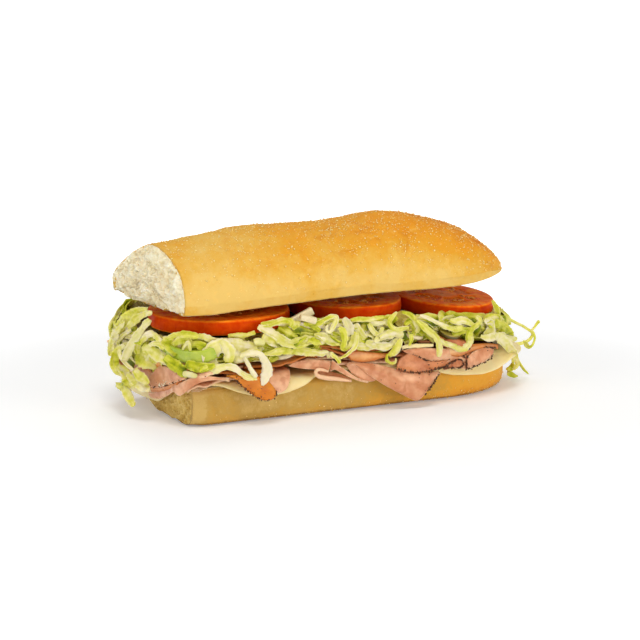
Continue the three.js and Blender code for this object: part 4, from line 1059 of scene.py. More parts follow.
# ================================================================= ribbons
def ribbon(P, side_dir, width, thick, tone, cup=0.0, ruffle=0.0, ruffle_n=5.0, phase=0.0, taper=(0.35, 0.35), K=6, square=False, cut=0.0, crisp=0.0):
    """closed thin strips, crisp 0 smooth to 1 torn and wrinkled. P (N, S, 3) centre lines, side_dir (N, S, 3) width directions, the rest (N,) or (N, S)."""
    P = np.asarray(P, float)
    N, S = P.shape[:2]
    s = np.linspace(0, 1, S)[None]
    T = unit(np.gradient(P, axis=1))
    W = side_dir - np.einsum("nsi,nsi->ns", side_dir, T)[..., None] * T
    W = unit(W)
    B = np.cross(T, W)
    ex = lambda a: np.broadcast_to(np.asarray(a, float).reshape(-1, 1) if np.ndim(a) < 2 else a, (N, S))
    width, thick, cup, ruffle, phase, ruffle_n, tone = map(ex, (width, thick, cup, ruffle, phase, ruffle_n, tone))
    end = np.minimum(1, taper[0] + (1 - taper[0]) * s / 0.08) * np.minimum(1, taper[1] + (1 - taper[1]) * (1 - s) / 0.08)
    w = width * end / 2
    a = np.linspace(-1, 1, K)
    shift = ex(cut)  # slanted ends
    along = (a[None, None] * shift[..., None] * (np.abs(2 * s - 1) ** 6 * np.sign(2 * s - 1))[..., None])
    edge = 0.22 + 0.78 * np.sqrt(np.clip(1 - a**4, 0, 1))
    if square:
        edge = 0.75 + 0.25 * np.sqrt(np.clip(1 - a**8, 0, 1))
    ruf = ruffle[..., None] * (np.abs(a) ** 1.6)[None, None] * np.sin(2 * PI * ruffle_n * s + phase)[..., None] * np.where(a < 0, 1, 0.75)[None, None]
    half = np.broadcast_to(w[..., None], (N, S, K))
    tn = np.broadcast_to(tone[..., None], (N, S, K))
    if crisp:
        run = np.concatenate([np.zeros((N, 1)), np.cumsum(np.linalg.norm(np.diff(P, axis=1), axis=-1), 1)], 1)[..., None] + 0 * a
        who = np.arange(N)[:, None, None] * 7.7 + phase[..., None] * 5.3 + 0 * a
        side = np.sign(a) * 4.1 + 0 * run
        A = a[None, None] + 0 * run
        at = lambda f, g, q: noise(np.stack([run / f, g * A + side, who], -1), q)
        half = half * (1 + crisp * (0.3 * at(3.4, 0, 31) + 0.2 * at(1.2, 0, 32)) * np.abs(A))
        wr = 0.55 * at(3.2, 0.3, 33) + 0.35 * at(1.4, 0.6, 34)
        a0 = 0.5 * np.sin(phase * 3.3)[..., None]
        ruf = ruf + crisp * w[..., None] * (0.5 * np.abs(A) ** 1.5 * wr + 0.12 * noise(np.stack([run / 1.1, 1.3 * A, who], -1), 35) + 0.35 * (np.abs(A - a0) - 0.5) * np.sin(phase[..., None] * 2.1 + run / 9))
        tn = tn - 0.04 + crisp * (0.26 * noise(np.stack([run / 8, 2.0 * A, who], -1), 36) + 0.07 * noise(np.stack([run / 2, 1.4 * A, who], -1), 37))
    mid = P[:, :, None] + W[:, :, None] * (a[None, None, :, None] * half[..., None]) + T[:, :, None] * along[..., None] + B[:, :, None] * ((cup[..., None] * w[..., None] * (a**2 - 0.3)[None, None] + ruf)[..., None])
    up = B[:, :, None] * (edge[None, None] * thick[..., None] / 2)[..., None]
    ring = np.concatenate([mid + up, (mid - up)[:, :, ::-1]], 2)  # (N, S, 2K, 3)
    M = 2 * K
    I = np.arange(N * S * M).reshape(N, S, M)
    J = np.roll(I, -1, axis=2)
    F = np.stack([I[:, :-1], J[:, :-1], J[:, 1:], I[:, 1:]], -1).reshape(-1, 4)
    caps = np.concatenate([I[:, 0, ::-1], I[:, -1]])
    across = np.broadcast_to(np.concatenate([a, a[::-1]])[None, None], (N, S, M))
    tn = np.concatenate([tn, tn[:, :, ::-1]], 2)
    return ring.reshape(-1, 3), [F, caps], {"tone": tn.ravel(), "across": across.ravel()}


def turned(T, W, B, ang):
    return W * np.cos(ang)[..., None] + B * np.sin(ang)[..., None]


def path_ribbon(j, pts, width, thick, tone, n=48, turn=0.0, hint=(0, 0, 1), **kw):
    """one strip along smooth points; turn in degrees, a number or a list along it, is measured from hint"""
    u = np.linspace(0, 1, n)
    P = even(pts, u)[None]
    T = unit(np.gradient(P, axis=1))
    h = np.broadcast_to(np.asarray(hint, float), P.shape)
    W = unit(h - np.einsum("nsi,nsi->ns", h, T)[..., None] * T)
    B = np.cross(T, W)
    ang = np.radians(even(turn, u) if np.ndim(turn) else np.full(n, turn))[None]
    wd = even(width, u)[None] if np.ndim(width) else width
    tn = even(tone, u)[None] if np.ndim(tone) else tone
    V, F, at = ribbon(P, turned(T, W, B, ang), wd, thick, tn, **kw)
    j.add(V, F, **at)


def single(name, node, material, slot, **kw):
    j = Join()
    path_ribbon(j, **kw)
    return j.build(name, material, slot=slot, replaces=[node])


single("onion_piece_1", "onion_stick_1", M_ONION, "onion", pts=[[-34.4, -32, 38.6], [-30.2, -32.6, 40.6], [-26, -33.2, 42.6]], width=3.0, thick=2.6, tone=0.8, taper=(0.93, 0.95), square=True, n=18, cup=0.08)
single("pepper_piece", "pepper_strip", M_PEPPER, "green_pepper", pts=[[-84, -13, 32.4], [-83.4, -22, 30.4], [-80.6, -30.5, 29.2], [-75.4, -36, 29.4], [-70.6, -38, 31.2]], width=5.0, thick=2.6, tone=[0.8, 0.7, 0.72, 0.6, 0.7], taper=(0.6, 0.6), square=True, cup=0.25, n=60, ruffle=0.25, ruffle_n=3)
single("lettuce_strand_1", "strand_1", M_LEAF, "lettuce", pts=[[70, -12, 28.6], [75, -10.5, 27.2], [81, -10, 24.3], [86, -10, 21.6], [89.8, -10, 18.6], [87.6, -9.6, 15.6], [81.5, -10, 14.8], [75, -11, 16.2]], width=[1.9, 1.6, 1.3, 1.2, 1.3, 1.4, 1.6, 1.8], thick=0.5, tone=[0.6, 0.5, 0.4, 0.4, 0.5, 0.4, 0.3, 0.3], turn=25, n=90, ruffle=0.15, ruffle_n=7)
single("lettuce_strand_2", "strand_2", M_LEAF, "lettuce", pts=[[73, -14, 22.6], [77.6, -11, 19.6], [80, -10, 14.4], [83.8, -10, 6.2], [88, -10, 1.4]], width=[2.2, 1.6, 1.5, 1.6, 1.2], thick=0.5, tone=[0.5, 0.4, 0.35, 0.5, 0.6], turn=60, n=70, ruffle=0.12, ruffle_n=6)
single("lettuce_strand_3", "strand_3", M_LEAF, "lettuce", pts=[[68, -21, 22.6], [72.6, -18, 18.6], [76.6, -15, 13.4], [79.6, -12, 8.8], [79.4, -11, 5.6], [77.6, -10.6, 4], [79.4, -10, 2.2], [83, -9.6, 1]], width=[3.0, 3.0, 2.8, 2.6, 2.6, 2.4, 2.6, 2.0], thick=0.6, tone=[0.35, 0.3, 0.4, 0.5, 0.7, 0.6, 0.7, 0.7], turn=[60, 60, 50, 40, 20, 0, -20, -30], n=90, ruffle=0.25, ruffle_n=6)

for node, prof, lift, f, b, t, sd in [("onion_slice_1", [[9.5, 13.4], [15, 13.3], [21, 12], [27, 11.6]], 12.6, [33, 37, 37.5, 33], [-14, -10, -10, -14], 2.0, 61), ("onion_slice_2", [[-46, 8.6], [-41, 9], [-36, 9.9], [-31, 11.2]], 9.6, [33, 35.5, 35.5, 33], [-16, -12, -12, -16], 1.8, 62)]:
    sl = Slice(prof, lift, f, b, out=5, t=t, keep=1, jag=0.2, wave=0.1, seed=sd)
    P, F, d = sl.mesh(40)
    stripe = 0.6 + 0.3 * np.sin(P[:, 1] * 2.4 + 0.4 * np.sin(P[:, 0] * 0.5)) + 0.15 * noise(P / 2, 3)
    build("ring_" + node, P, F, M_ONION, "onion", [node], {"tone": stripe})

# ================================================================= lettuce heap
# its outline seen from above, all the way round: x, y, lowest and highest point of its side
LINE = [(76, -4, 19, 31), (72, -21, 19.5, 33), (64, -29, 20.5, 33.6), (54, -34.6, 22, 33.6), (43, -36.6, 23, 34), (32, -37.2, 24, 35.4), (21, -37.6, 25, 36.6), (10, -37.4, 25, 36.8), (-1, -38, 24.4, 37), (-12, -38.2, 24.4, 38.2), (-22, -37.6, 25.6, 39.2), (-32, -37, 25.6, 38.8), (-42, -37.2, 25, 36.4), (-52, -38.2, 24, 36.2), (-62, -37.8, 23.6, 36.4), (-71, -36.4, 23.6, 36.8), (-79, -30.5, 21, 36.4), (-84.5, -18, 15, 35), (-87, -4, 15, 35), (-88, 10, 15, 35), (-87, 22, 17, 35), (-83, 33, 21, 38), (-72, 36.6, 24, 44), (-52, 36.2, 24, 43), (-32, 37.6, 25.5, 43.5), (-12, 36.6, 24.5, 43), (10, 37, 24.5, 42), (32, 37, 24, 38), (54, 34, 22, 35), (64, 29.4, 20.5, 34.6), (72, 21, 19.5, 33), (76, 8, 19, 31)]
_L = np.array(LINE + LINE[:1], float)
_c = []
for i in range(len(LINE)):
    a, b, c, d = (np.array(LINE[(i + k) % len(LINE)], float) for k in (-1, 0, 1, 2))
    for t in np.linspace(0, 1, 16, endpoint=False):
        _c.append(0.5 * (2 * b + (c - a) * t + (2 * a - 5 * b + 4 * c - d) * t * t + (3 * b - a - 3 * c + d) * t**3))
_c = np.array(_c)
_seg = np.linalg.norm(np.diff(np.concatenate([_c, _c[:1]])[:, :2], axis=0), axis=1)
_s = np.concatenate([[0], np.cumsum(_seg)])
ROUND = _s[-1]
_cc = np.concatenate([_c, _c[:1]])


def heap_at(t, q):
    """point and outward normal of the heap's side at length t of its outline and height q (0 in the middle of its side)"""
    t = np.mod(t, ROUND)
    g = lambda tt, k: np.interp(np.mod(tt, ROUND), _s, _cc[:, k])
    x, y, lo, hi = (g(t, k) for k in range(4))
    dx, dy = g(t + 1.5, 0) - g(t - 1.5, 0), g(t + 1.5, 1) - g(t - 1.5, 1)
    l = np.maximum(np.hypot(dx, dy), 1e-6)
    nx, ny = -dy / l, dx / l  # outline runs clockwise from the round end along the front
    sgn = np.where(nx * (x - 0) / 80 + ny * y / 38 > 0, 1.0, -1.0)
    nx, ny = nx * sgn, ny * sgn
    H = (hi - lo) / 2
    th = np.clip(q / H, -PI / 2, PI / 2)
    inn = H * (1 - np.cos(th)) * 0.8 + np.maximum(0, np.abs(q) - H * PI / 2)
    P = np.stack([x - nx * inn, y - ny * inn, (lo + hi) / 2 + H * np.sin(th)], -1)
    N = np.stack([nx * np.cos(th), ny * np.cos(th), np.sin(th)], -1)
    return P, N


def heap_core():
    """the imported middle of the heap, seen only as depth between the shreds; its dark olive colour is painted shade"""
    T = np.linspace(0, ROUND, 240, endpoint=False)
    Q = np.concatenate([np.linspace(-24, -9, 6), np.linspace(-8, 8, 18), np.linspace(9, 24, 6)])
    TT, QQ = np.meshgrid(T, Q, indexing="ij")
    P, N = heap_at(TT, QQ)
    P = P - N * (3.4 + 1.1 * fbm(P / 5, 3, 3)[..., None])
    P[:, :, 2] = np.where(np.abs(QQ) > 12, np.clip(P[:, :, 2], 29.8, 35.2), P[:, :, 2])
    R = np.moveaxis(P, 0, 1)
    V, F = rings(R, (0, 0, 30.0), (0, 0, 35.0))
    build("lettuce_core", V, F, M_CORE, "lettuce", ["lettuce"])


heap_core()


# where the sandwich is looked at from
EYE = np.array([-564.4, -1074.07, 266.56])
_az, _el = math.radians(-27.5), math.radians(11)
VIEW_BACK = np.array([math.sin(_az) * math.cos(_el), -math.cos(_az) * math.cos(_el), math.sin(_el)])
VIEW_RIGHT = np.array([math.cos(_az), math.sin(_az), 0.0])
VIEW_UP = np.cross(VIEW_BACK, VIEW_RIGHT)

HOLLOWS = [(403, 320.5, 12, 9, 6), (445, 332, 13, 7, 6), (127, 337, 10, 14, 5), (258, 339, 9, 6, 4), (225, 337, 30, 4, 4), (310, 316, 14, 5, 3), (373, 313, 40, 3, 3), (310, 362, 40, 5, 3), (385, 352, 45, 5, 3), (455, 352, 25, 7, 4), (160, 372, 26, 10, 4)]


def sunk(P):
    """how far the loose shreds lie back, where other toppings show through the heap's front"""
    d = P - EYE
    f = -(d @ VIEW_BACK)
    u, v = 320 + 3036 * (d @ VIEW_RIGHT) / f, 320 - 3036 * (d @ VIEW_UP) / f
    front = smooth(10, 0, P[..., 1])
    out = 0
    for cu, cv, ru, rv, deep in HOLLOWS:
        out = np.maximum(out, deep * smooth(1.25, 0.7, np.hypot((u - cu) / ru, (v - cv) / rv)))
    return out * front


def shreds(seed, n, t_range, q_range, length, width, thick, lift, tone, S=30, K=7, curl=1.1, ruffle=0.12, cup=0.3, twist=0.55, wave=0.9, angle=0.45, taper=(0.8, 0.8), crisp=0.8):
    """loose shreds over the side of the heap; ranges are (low, high)"""
    rng = np.random.default_rng(seed)
    U = lambda r: rng.uniform(r[0], r[1], n)
    s = np.linspace(0, 1, S)[None]
    t0, q0, L, w, tn = U(t_range), U(q_range), U(length), U(width), np.clip(rng.normal(tone[0], tone[1], n), 0, 1)
    phi0 = rng.normal(0, angle, n) + np.where(rng.uniform(0, 1, n) < 0.5, 0, PI)
    steep = rng.uniform(0, 1, n) < 0.16
    phi0 = np.where(steep, rng.normal(-1.2, 0.35, n), phi0)
    k1, k2, ph = rng.normal(0, curl, n), rng.normal(0, curl * 0.8, n), rng.uniform(0, 2 * PI, n)
    phi = phi0[:, None] + k1[:, None] * (s - 0.5) + k2[:, None] * np.sin(2 * PI * s * 0.9 + ph[:, None])
    ds = (L / (S - 1))[:, None]
    T = t0[:, None] + np.cumsum(np.cos(phi), 1) * ds
    Q = q0[:, None] + np.cumsum(np.sin(phi), 1) * ds
    T -= T.mean(1, keepdims=True) - t0[:, None]
    Q -= Q.mean(1, keepdims=True) - q0[:, None]
    lim = max(abs(q_range[0]), abs(q_range[1])) + 2.0
    Q = lim * np.tanh(Q / lim)
    P, N = heap_at(T, Q)
    hh = U(lift)[:, None] + U((0.15, wave))[:, None] * np.sin(2 * PI * U((0.5, 1.4))[:, None] * s + ph[:, None] * 2) - 1.4 * np.abs(2 * s - 1) ** 5
    P = P + N * hh[..., None]
    P[..., 2] = np.minimum(P[..., 2], 39.5)
    P = P - N * sunk(P)[..., None]
    Tn = unit(np.gradient(P, axis=1))
    W = unit(np.cross(N, Tn))
    B = np.cross(Tn, W)
    ang = rng.normal(0, 0.55 * twist, n)[:, None] + rng.normal(0, 1.3 * twist, n)[:, None] * (s - 0.5) + 0.5 * twist * np.sin(2 * PI * s + ph[:, None])
    wd = w[:, None] * (1 + 0.2 * np.sin(2 * PI * U((0.5, 1.6))[:, None] * s + ph[:, None] * 3))
    tone_s = tn[:, None] + 0.2 * np.sin(2 * PI * U((0.3, 1.2))[:, None] * s + ph[:, None])
    V, F, at = ribbon(P, turned(Tn, W, B, ang), wd, U(thick), tone_s, cup=rng.normal(0, cup, n), ruffle=U((0.1, 1.0)) * ruffle * w, ruffle_n=L / rng.uniform(6, 11, n), phase=ph, taper=taper, K=K, cut=rng.normal(0, 0.7, n), crisp=crisp)
    j = Join()
    j.add(V, F, **at)
    return j


_poly = _c[:, :2]


def outside(x, y):
    """signed distance in plan to the heap's outline, positive outside"""
    d = np.sqrt(((x[..., None] - _poly[:, 0]) ** 2 + (y[..., None] - _poly[:, 1]) ** 2).min(-1))
    a, b = _poly, np.roll(_poly, -1, axis=0)
    cr = ((a[:, 1] > y[..., None]) != (b[:, 1] > y[..., None])) & (x[..., None] < (b[:, 0] - a[:, 0]) * (y[..., None] - a[:, 1]) / (b[:, 1] - a[:, 1] + 1e-12) + a[:, 0])
    return np.where(cr.sum(-1) % 2 == 1, -d, d)


def seen(u, v, out):
    """the point seen at (u, v) from the eye, a given way outside the heap's outline"""
    u, v, out = (np.asarray(k, float) for k in (u, v, out))
    d = VIEW_RIGHT * ((u - 320) / 3036)[:, None] + VIEW_UP * ((320 - v) / 3036)[:, None] - VIEW_BACK
    t = np.linspace(1085, 1300, 216)
    P = EYE + d[:, None] * t[None, :, None]
    s = outside(P[..., 0], P[..., 1]) - out[:, None]
    hit = s <= 0
    k = np.where(hit.any(1), np.maximum(hit.argmax(1), 1), np.maximum(s.argmin(1), 1))
    i = np.arange(len(u))
    s0, s1 = s[i, k - 1], s[i, k]
    f = np.where(hit.any(1), np.clip(s0 / np.where(np.abs(s0 - s1) < 1e-9, 1, s0 - s1), 0, 1), 1.0)
    return EYE + d * (t[k - 1] + f * (t[k] - t[k - 1]))[:, None]


def on_plane(u, v, x):
    """the point seen at (u, v) from the eye at a given x"""
    d = VIEW_RIGHT * ((u - 320) / 3036)[:, None] + VIEW_UP * ((320 - v) / 3036)[:, None] - VIEW_BACK
    return EYE + d * ((x - EYE[0]) / d[:, 0])[:, None]


HERO = 0


def hero(j, pts, w, tone, out=1.0, turn=0, thick=0.2, cup=0.2, ruffle=0.25, waves=2.0, n=None, taper=(0.7, 0.7), K=9, cut=0.0, weave=0.6, crisp=1.0):
    """one long shred; pts are (u, v) or (u, v, extra way out), w is its width in view units"""
    global HERO
    HERO += 1
    rng = np.random.default_rng(700 + HERO)
    p = np.array([(q[0], q[1], q[2] if len(q) > 2 else 0.0) for q in pts], float)
    m = len(p)
    extra = out + p[:, 2] + weave * noise(np.stack([np.arange(m) * 0.45, np.full(m, HERO * 1.7), np.zeros(m)], -1), 2)
    P = seen(p[:, 0], p[:, 1], extra)
    steps = np.linalg.norm(np.diff(P, axis=0), axis=1).sum()
    n = n or int(np.clip(steps * 2.2, 24, 140))
    u = np.linspace(0, 1, n)
    C = even(P, u)
    T = unit(np.gradient(C, axis=0))
    see = unit(EYE - C)
    W = unit(np.cross(see, T))
    B = np.cross(T, W)
    ang = np.radians(even(turn, u) if np.ndim(turn) else np.full(n, float(turn))) + 0.28 * noise(np.stack([u * steps / 9, 0 * u + HERO, 0 * u], -1), 7)
    wd = (even(w, u) if np.ndim(w) else np.full(n, float(w))) / 2.46 * 1.06
    wd = wd * (1 + 0.08 * noise(np.stack([u * steps / 4, 0 * u + HERO, 0 * u], -1), 9))
    tn = (even(tone, u) if np.ndim(tone) else np.full(n, float(tone))) + 0.12 * noise(np.stack([u * steps / 7, 0 * u + HERO, 0 * u], -1), 4)
    V, F, at = ribbon(C[None], turned(T, W, B, ang)[None], wd[None], thick, tn[None], cup=cup * (1 if rng.uniform() < 0.6 else -1), ruffle=ruffle, ruffle_n=waves, phase=rng.uniform(0, 6.28), taper=taper, K=K, cut=cut, crisp=crisp)
    j.add(V, F, **at)


# ----------------------------------------------------------------- folds of meat and cheese that stand out beside the cut end
def flap(name, material, slot, top, bot, thick=MEAT_T, belly=0.5, rim=True, nu=70, nv=22, wave=0.25, seed=0, plane=None):
    """a sheet between an upper and a lower edge, both (u, v, way outside the heap's outline)"""
    t, b = np.array(top, float), np.array(bot, float)
    A, B = (seen(k[:, 0], k[:, 1], k[:, 2]) if plane is None else on_plane(k[:, 0], k[:, 1], plane + k[:, 2]) for k in (t, b))
    nu, nv = int(nu * 0.72), int(nv * 0.5)
    u = np.linspace(0, 1, nu)
    v = np.concatenate([[0, 0.02, 0.06], np.linspace(0.12, 0.88, nv), [0.94, 0.98, 1]])
    a, c = even(A, u)[:, None], even(B, u)[:, None]
    P = a + (c - a) * v[None, :, None]
    look = unit(EYE - P)
    P = P + look * (belly * 4 * v * (1 - v) * (1 - (2 * u[:, None] - 1) ** 4) + wave * noise(np.stack([u[:, None] * 5 + 0 * v, 2.5 * v + 0 * u[:, None], 0 * v + 0 * u[:, None] + seed], -1), seed))[..., None]
    N = unit(np.cross(np.gradient(P, axis=0), np.gradient(P, axis=1)))
    N = N * np.sign(np.einsum("ijk,ijk->ij", N, look))[..., None]
    lu = np.linalg.norm(np.diff(even(A, u), axis=0), axis=1).sum()
    lv = np.linalg.norm(c - a, axis=-1)
    d = np.minimum(np.minimum(u, 1 - u)[:, None] * lu, np.minimum(v, 1 - v)[None] * lv)
    tau = np.sqrt(np.clip(1 - (1 - np.minimum(d / (0.5 * thick), 1)) ** 2, 0.03, 1))
    V, F = slab(P - N * (thick * (0.5 + 0.5 * tau))[..., None], P - N * (thick * (0.5 - 0.5 * tau))[..., None])
    dd = d.ravel() if rim else d.ravel() + 5
    build(name, V, F, material, slot, (), {"rim": np.concatenate([dd, dd])})
    return P, N


flap("fold_turkey_end", M_TURKEY, "turkey", [(130, 352, -2.2), (139, 355.6, -2), (150, 358.4, -1.6), (163, 360.6, -1.0)], [(133, 359.5, -2.6), (142, 365.6, -2.4), (152, 368.6, -2.2), (164, 368, -1.8)], seed=3)
flap("fold_ham_swirl", M_HAM, "ham", [(125.6, 361, -3.4), (131, 358.4, -3), (138, 360.6, -3), (146, 366, -2.8)], [(129, 367.6, -3.6), (134, 372, -3.4), (140, 373.6, -3.2), (147, 374, -3.2)], belly=0.9, seed=4)
flap("fold_ham_pale", M_HAM, "ham", [(143, 366.6, -2.6), (146, 367.6, -2.2), (150, 370.6, -1.8), (154, 376, -1.8)], [(141, 373, -3), (143.6, 379, -2.6), (147.6, 385, -2.0), (151, 387, -1.8)], seed=5)
P3, N3 = flap("fold_ham_peak", M_HAM, "ham", [(147, 378, -1.6), (152.6, 371.4, -1.3), (158, 366.6, -1.0), (162, 365, -0.8), (167.6, 367.4, 1.0), (175, 371.6, 3.2), (184.6, 377.6, 5.4)], [(146.6, 384, -2.0), (151, 387.4, -1.6), (157, 388, -1.0), (163, 386.6, 0.0), (170, 384.6, 1.8), (177, 382.4, 3.8), (186, 379.6, 5.6)], belly=0.9, nu=90, seed=6)
flap("fold_turkey_low", M_TURKEY, "turkey", [(149, 385.6, -3.2), (158, 386, -2.6), (168, 384, 0.4), (180, 380.6, 3.6)], [(151, 392.6, -4.0), (160, 392, -3.2), (170, 389, -0.4), (182, 384.6, 3.4)], belly=0.2, seed=7)
flap("fold_ham_hang", M_HAM, "ham", [(147.6, 393.6, -5.4), (156, 391.6, -4.6), (165, 389, -3.0), (175, 385, 2.2), (186, 380, 5.2), (197, 376, 5.2), (208, 375.4, 4.2), (219, 376.8, 3.4), (230, 379, 3.4)], [(150, 398, -6.4), (158, 399.6, -5.4), (164.6, 397, -3.6), (172.6, 392.4, 0.6), (178.8, 396.4, 2.6), (188, 390.4, 4.6), (199, 383.6, 4.4), (214, 380.8, 3.8), (230, 380.4, 3.4)], belly=0.5, nu=110, wave=0.35, seed=8)
flap("fold_cheese_end", M_CHEESE, "cheese", [(122, 362, 0.6), (138, 366, 0.6), (150, 371, 0.6), (164, 377, 0.6)], [(126, 385.6, -0.9), (132, 391.4, -0.9), (140, 395.6, -0.9), (148, 398.6, -0.9), (157, 401, -0.9), (164, 396, -0.9)], thick=1.4, belly=0.2, rim=False, seed=9, plane=-79.2)


def fold_grains():
    rng = np.random.default_rng(17)
    a, b = Join(), Join()
    n = 44
    i = (rng.uniform(0.12, 0.88, n) * (P3.shape[0] - 1)).astype(int)
    k = np.clip(np.abs(rng.normal(0, 2.4, n)).astype(int), 0, P3.shape[1] - 2)
    a.add(*grains(rng, P3[i, -1 - k], N3[i, -1 - k], np.clip(rng.lognormal(math.log(0.24), 0.4, n), 0.12, 0.45), 0.7, 0.2))
    n = 13
    i = (rng.uniform(0.32, 0.74, n) * (P3.shape[0] - 1)).astype(int)
    k = 2 + np.clip(np.abs(rng.normal(0, 1.8, n)).astype(int), 0, 7)
    b.add(*grains(rng, P3[i, -1 - k], N3[i, -1 - k], np.clip(rng.lognormal(math.log(0.34), 0.4, n), 0.18, 0.7), 0.5, 0.2))
    a.build("ground_pepper_fold", M_GRAIN, slot="peppered_ham")
    b.build("dressing_specks", M_DRESS, slot="onion")


fold_grains()


flap("fold_ham_slope", M_HAM, "ham", [(288, 365.6, -1.6), (296, 361.4, -1.4), (308, 358.8, -1.0), (320, 359, -0.6), (331.6, 360.6, -0.2)], [(291, 367.4, -2.0), (300, 369, -1.6), (310, 369.8, -1.2), (320, 370.2, -0.8), (329.4, 371.8, -0.4)], seed=11)
flap("fold_ham_wing", M_HAM, "ham", [(331.2, 360.4, -0.2), (337, 363.6, 0.8), (345, 368.8, 1.2), (352, 373.6, 1.4), (359, 378, 1.4), (369, 380.8, 1.4)], [(329.6, 372, -2.2), (334.4, 370.4, -0.4), (341, 373.4, 0.6), (349, 377.8, 1.2), (358, 381.2, 1.4), (369, 382.4, 1.4)], belly=0.3, seed=12)
flap("fold_ham_inside", M_HAM, "ham", [(316.4, 370.6, -5.4), (324, 369.6, -5.4), (332, 371, -5), (342, 374, -4), (352, 378, -3)], [(317, 376, -3.4), (325, 377.6, -3), (334, 378.2, -2.6), (343, 379, -2), (352, 380.4, -1.4)], belly=0.1, seed=13)
flap("fold_ham_dark", M_HAM, "ham", [(345.6, 364.6, -0.8), (350, 361.6, -0.6), (358, 362.6, -0.4), (368, 367.4, 0.2), (380, 375.6, 0.8)], [(351, 373, 0.0), (357, 377.4, 0.4), (364, 380.8, 0.8), (372, 382, 1.0), (380, 378.4, 1.0)], belly=0.6, seed=14)
flap("fold_turkey_band", M_TURKEY, "turkey", [(346, 352.4, 0.0), (358, 350.6, 0.2), (370, 351.4, 0.4), (384, 352.6, 0.4), (397, 351, 0.4)], [(351, 360.4, 0.4), (360, 362.4, 0.6), (372, 361.6, 0.6), (384, 358.4, 0.6), (397, 354.6, 0.6)], seed=15)
flap("fold_ham_upper", M_HAM, "ham", [(401, 350.4, 1.4), (413, 348, 1.6), (425, 347.4, 1.6), (440, 348, 1.4), (452, 348, 1.2)], [(408, 354, 1.4), (418, 358, 1.8), (428, 361.6, 2.0), (440, 360.6, 2.0), (453, 357.4, 1.8)], seed=16)
flap("fold_turkey_back", M_TURKEY, "turkey", [(446, 346, 1.2), (458, 343.6, 1.2), (472, 343.6, 1.2), (486, 342.6, 1.0), (499, 343.6, 0.6)], [(448, 357, 1.6), (460, 357, 1.8), (470, 352.6, 1.8), (484, 348.8, 1.8), (499, 348.6, 1.2)], seed=26)
flap("fold_cheese_band", M_CHEESE, "cheese", [(402, 347.6, 2.2), (411, 344.6, 2.2), (422, 343.4, 2.2), (434, 343.6, 2.2)], [(403, 349, 2.2), (412, 348.4, 2.2), (422, 348, 2.2), (434, 347, 2.2)], thick=1.2, belly=0.1, rim=False, seed=27)
PA, NA = flap("fold_pepper_wide", M_PEPPERED, "peppered_ham", [(396.6, 364.6, 1.6), (400, 358.6, 1.6), (409.4, 353.2, 1.6), (418, 356, 2.0), (427, 360, 2.4), (438, 361.2, 2.4), (450, 358.6, 2.2)], [(397.6, 368.8, 3.2), (406.4, 371.9, 3.4), (420, 372.5, 3.4), (432, 371, 3.4), (438.6, 368.4, 3.2), (446, 366.4, 3.0), (453, 362.6, 2.6)], belly=-0.5, nu=110, seed=17)
flap("fold_ham_round", M_HAM, "ham", [(440, 354.6, 1.0), (450, 352.6, 1.0), (460, 353.6, 1.0), (468, 357.6, 1.0)], [(444, 367.4, 2.0), (452, 368.6, 2.2), (460, 369, 2.2), (467, 369.6, 1.8)], belly=0.8, seed=18)
PB, NB = flap("fold_pepper_loop", M_PEPPERED, "peppered_ham", [(443, 367, 3.2), (450, 363.4, 3.2), (456, 360, 3.0), (461, 359.6, 2.8), (463.6, 363.6, 2.6)], [(444, 368.6, 3.2), (450, 368.2, 3.2), (456, 368, 3.0), (461, 367, 2.8), (463.8, 364.8, 2.6)], belly=-0.2, seed=19)
PC, NC = flap("fold_pepper_leaf", M_HAM, "peppered_ham", [(466.6, 362, 2.4), (468.6, 356, 2.2), (475, 350.6, 2.0), (485, 347.4, 2.0), (494.6, 347.6, 2.0)], [(466.2, 369.8, 2.6), (470, 368.6, 2.8), (478.6, 365, 3.0), (488.4, 360.2, 3.0), (493.6, 353.6, 2.6)], belly=0.5, seed=20)
PD, ND = flap("fold_pepper_high", M_PEPPERED, "peppered_ham", [(440, 340.6, 1.0), (450, 338.4, 1.0), (460, 339.4, 1.0), (471, 342.6, 1.0)], [(442, 347, 1.4), (452, 348.6, 1.4), (462, 349, 1.4), (471.6, 347.6, 1.2)], seed=21)


PT, NT = flap("fold_turkey_tongue", M_TONGUE, "turkey", [(226, 375, 2.4), (238, 374, 2.6), (250, 374.6, 2.8), (261, 376.6, 3.0), (269, 381, 2.8), (274.6, 387.6, 2.8)], [(228, 376.6, 3.0), (235.6, 379.6, 3.2), (240, 385, 3.3), (246.6, 390.6, 3.4), (254, 396, 3.4), (260.6, 400, 3.4), (268, 400.9, 3.4), (273.4, 399.6, 3.4), (276.4, 395.4, 3.3), (276, 390.6, 3.2)], belly=0.5, nu=100, seed=24)
PH, NH = flap("fold_ham_drape", M_HAM, "ham", [(352, 361.6, -0.4), (364, 361.6, 0.0), (378, 363.6, 0.6), (394, 367.6, 1.4), (410, 370.6, 2.0), (425, 371.6, 2.4), (439.4, 370.6, 2.4)], [(352.6, 363.4, 0.4), (361, 369.6, 1.2), (370, 376.4, 1.8), (384, 385.4, 2.4), (398, 393, 2.8), (411, 399.4, 3.0), (418, 401, 3.0), (423.4, 397, 3.0), (430.4, 387.4, 3.0), (435.4, 380, 2.8), (439.8, 373, 2.6)], belly=1.6, nu=130, nv=30, wave=0.6, seed=25)


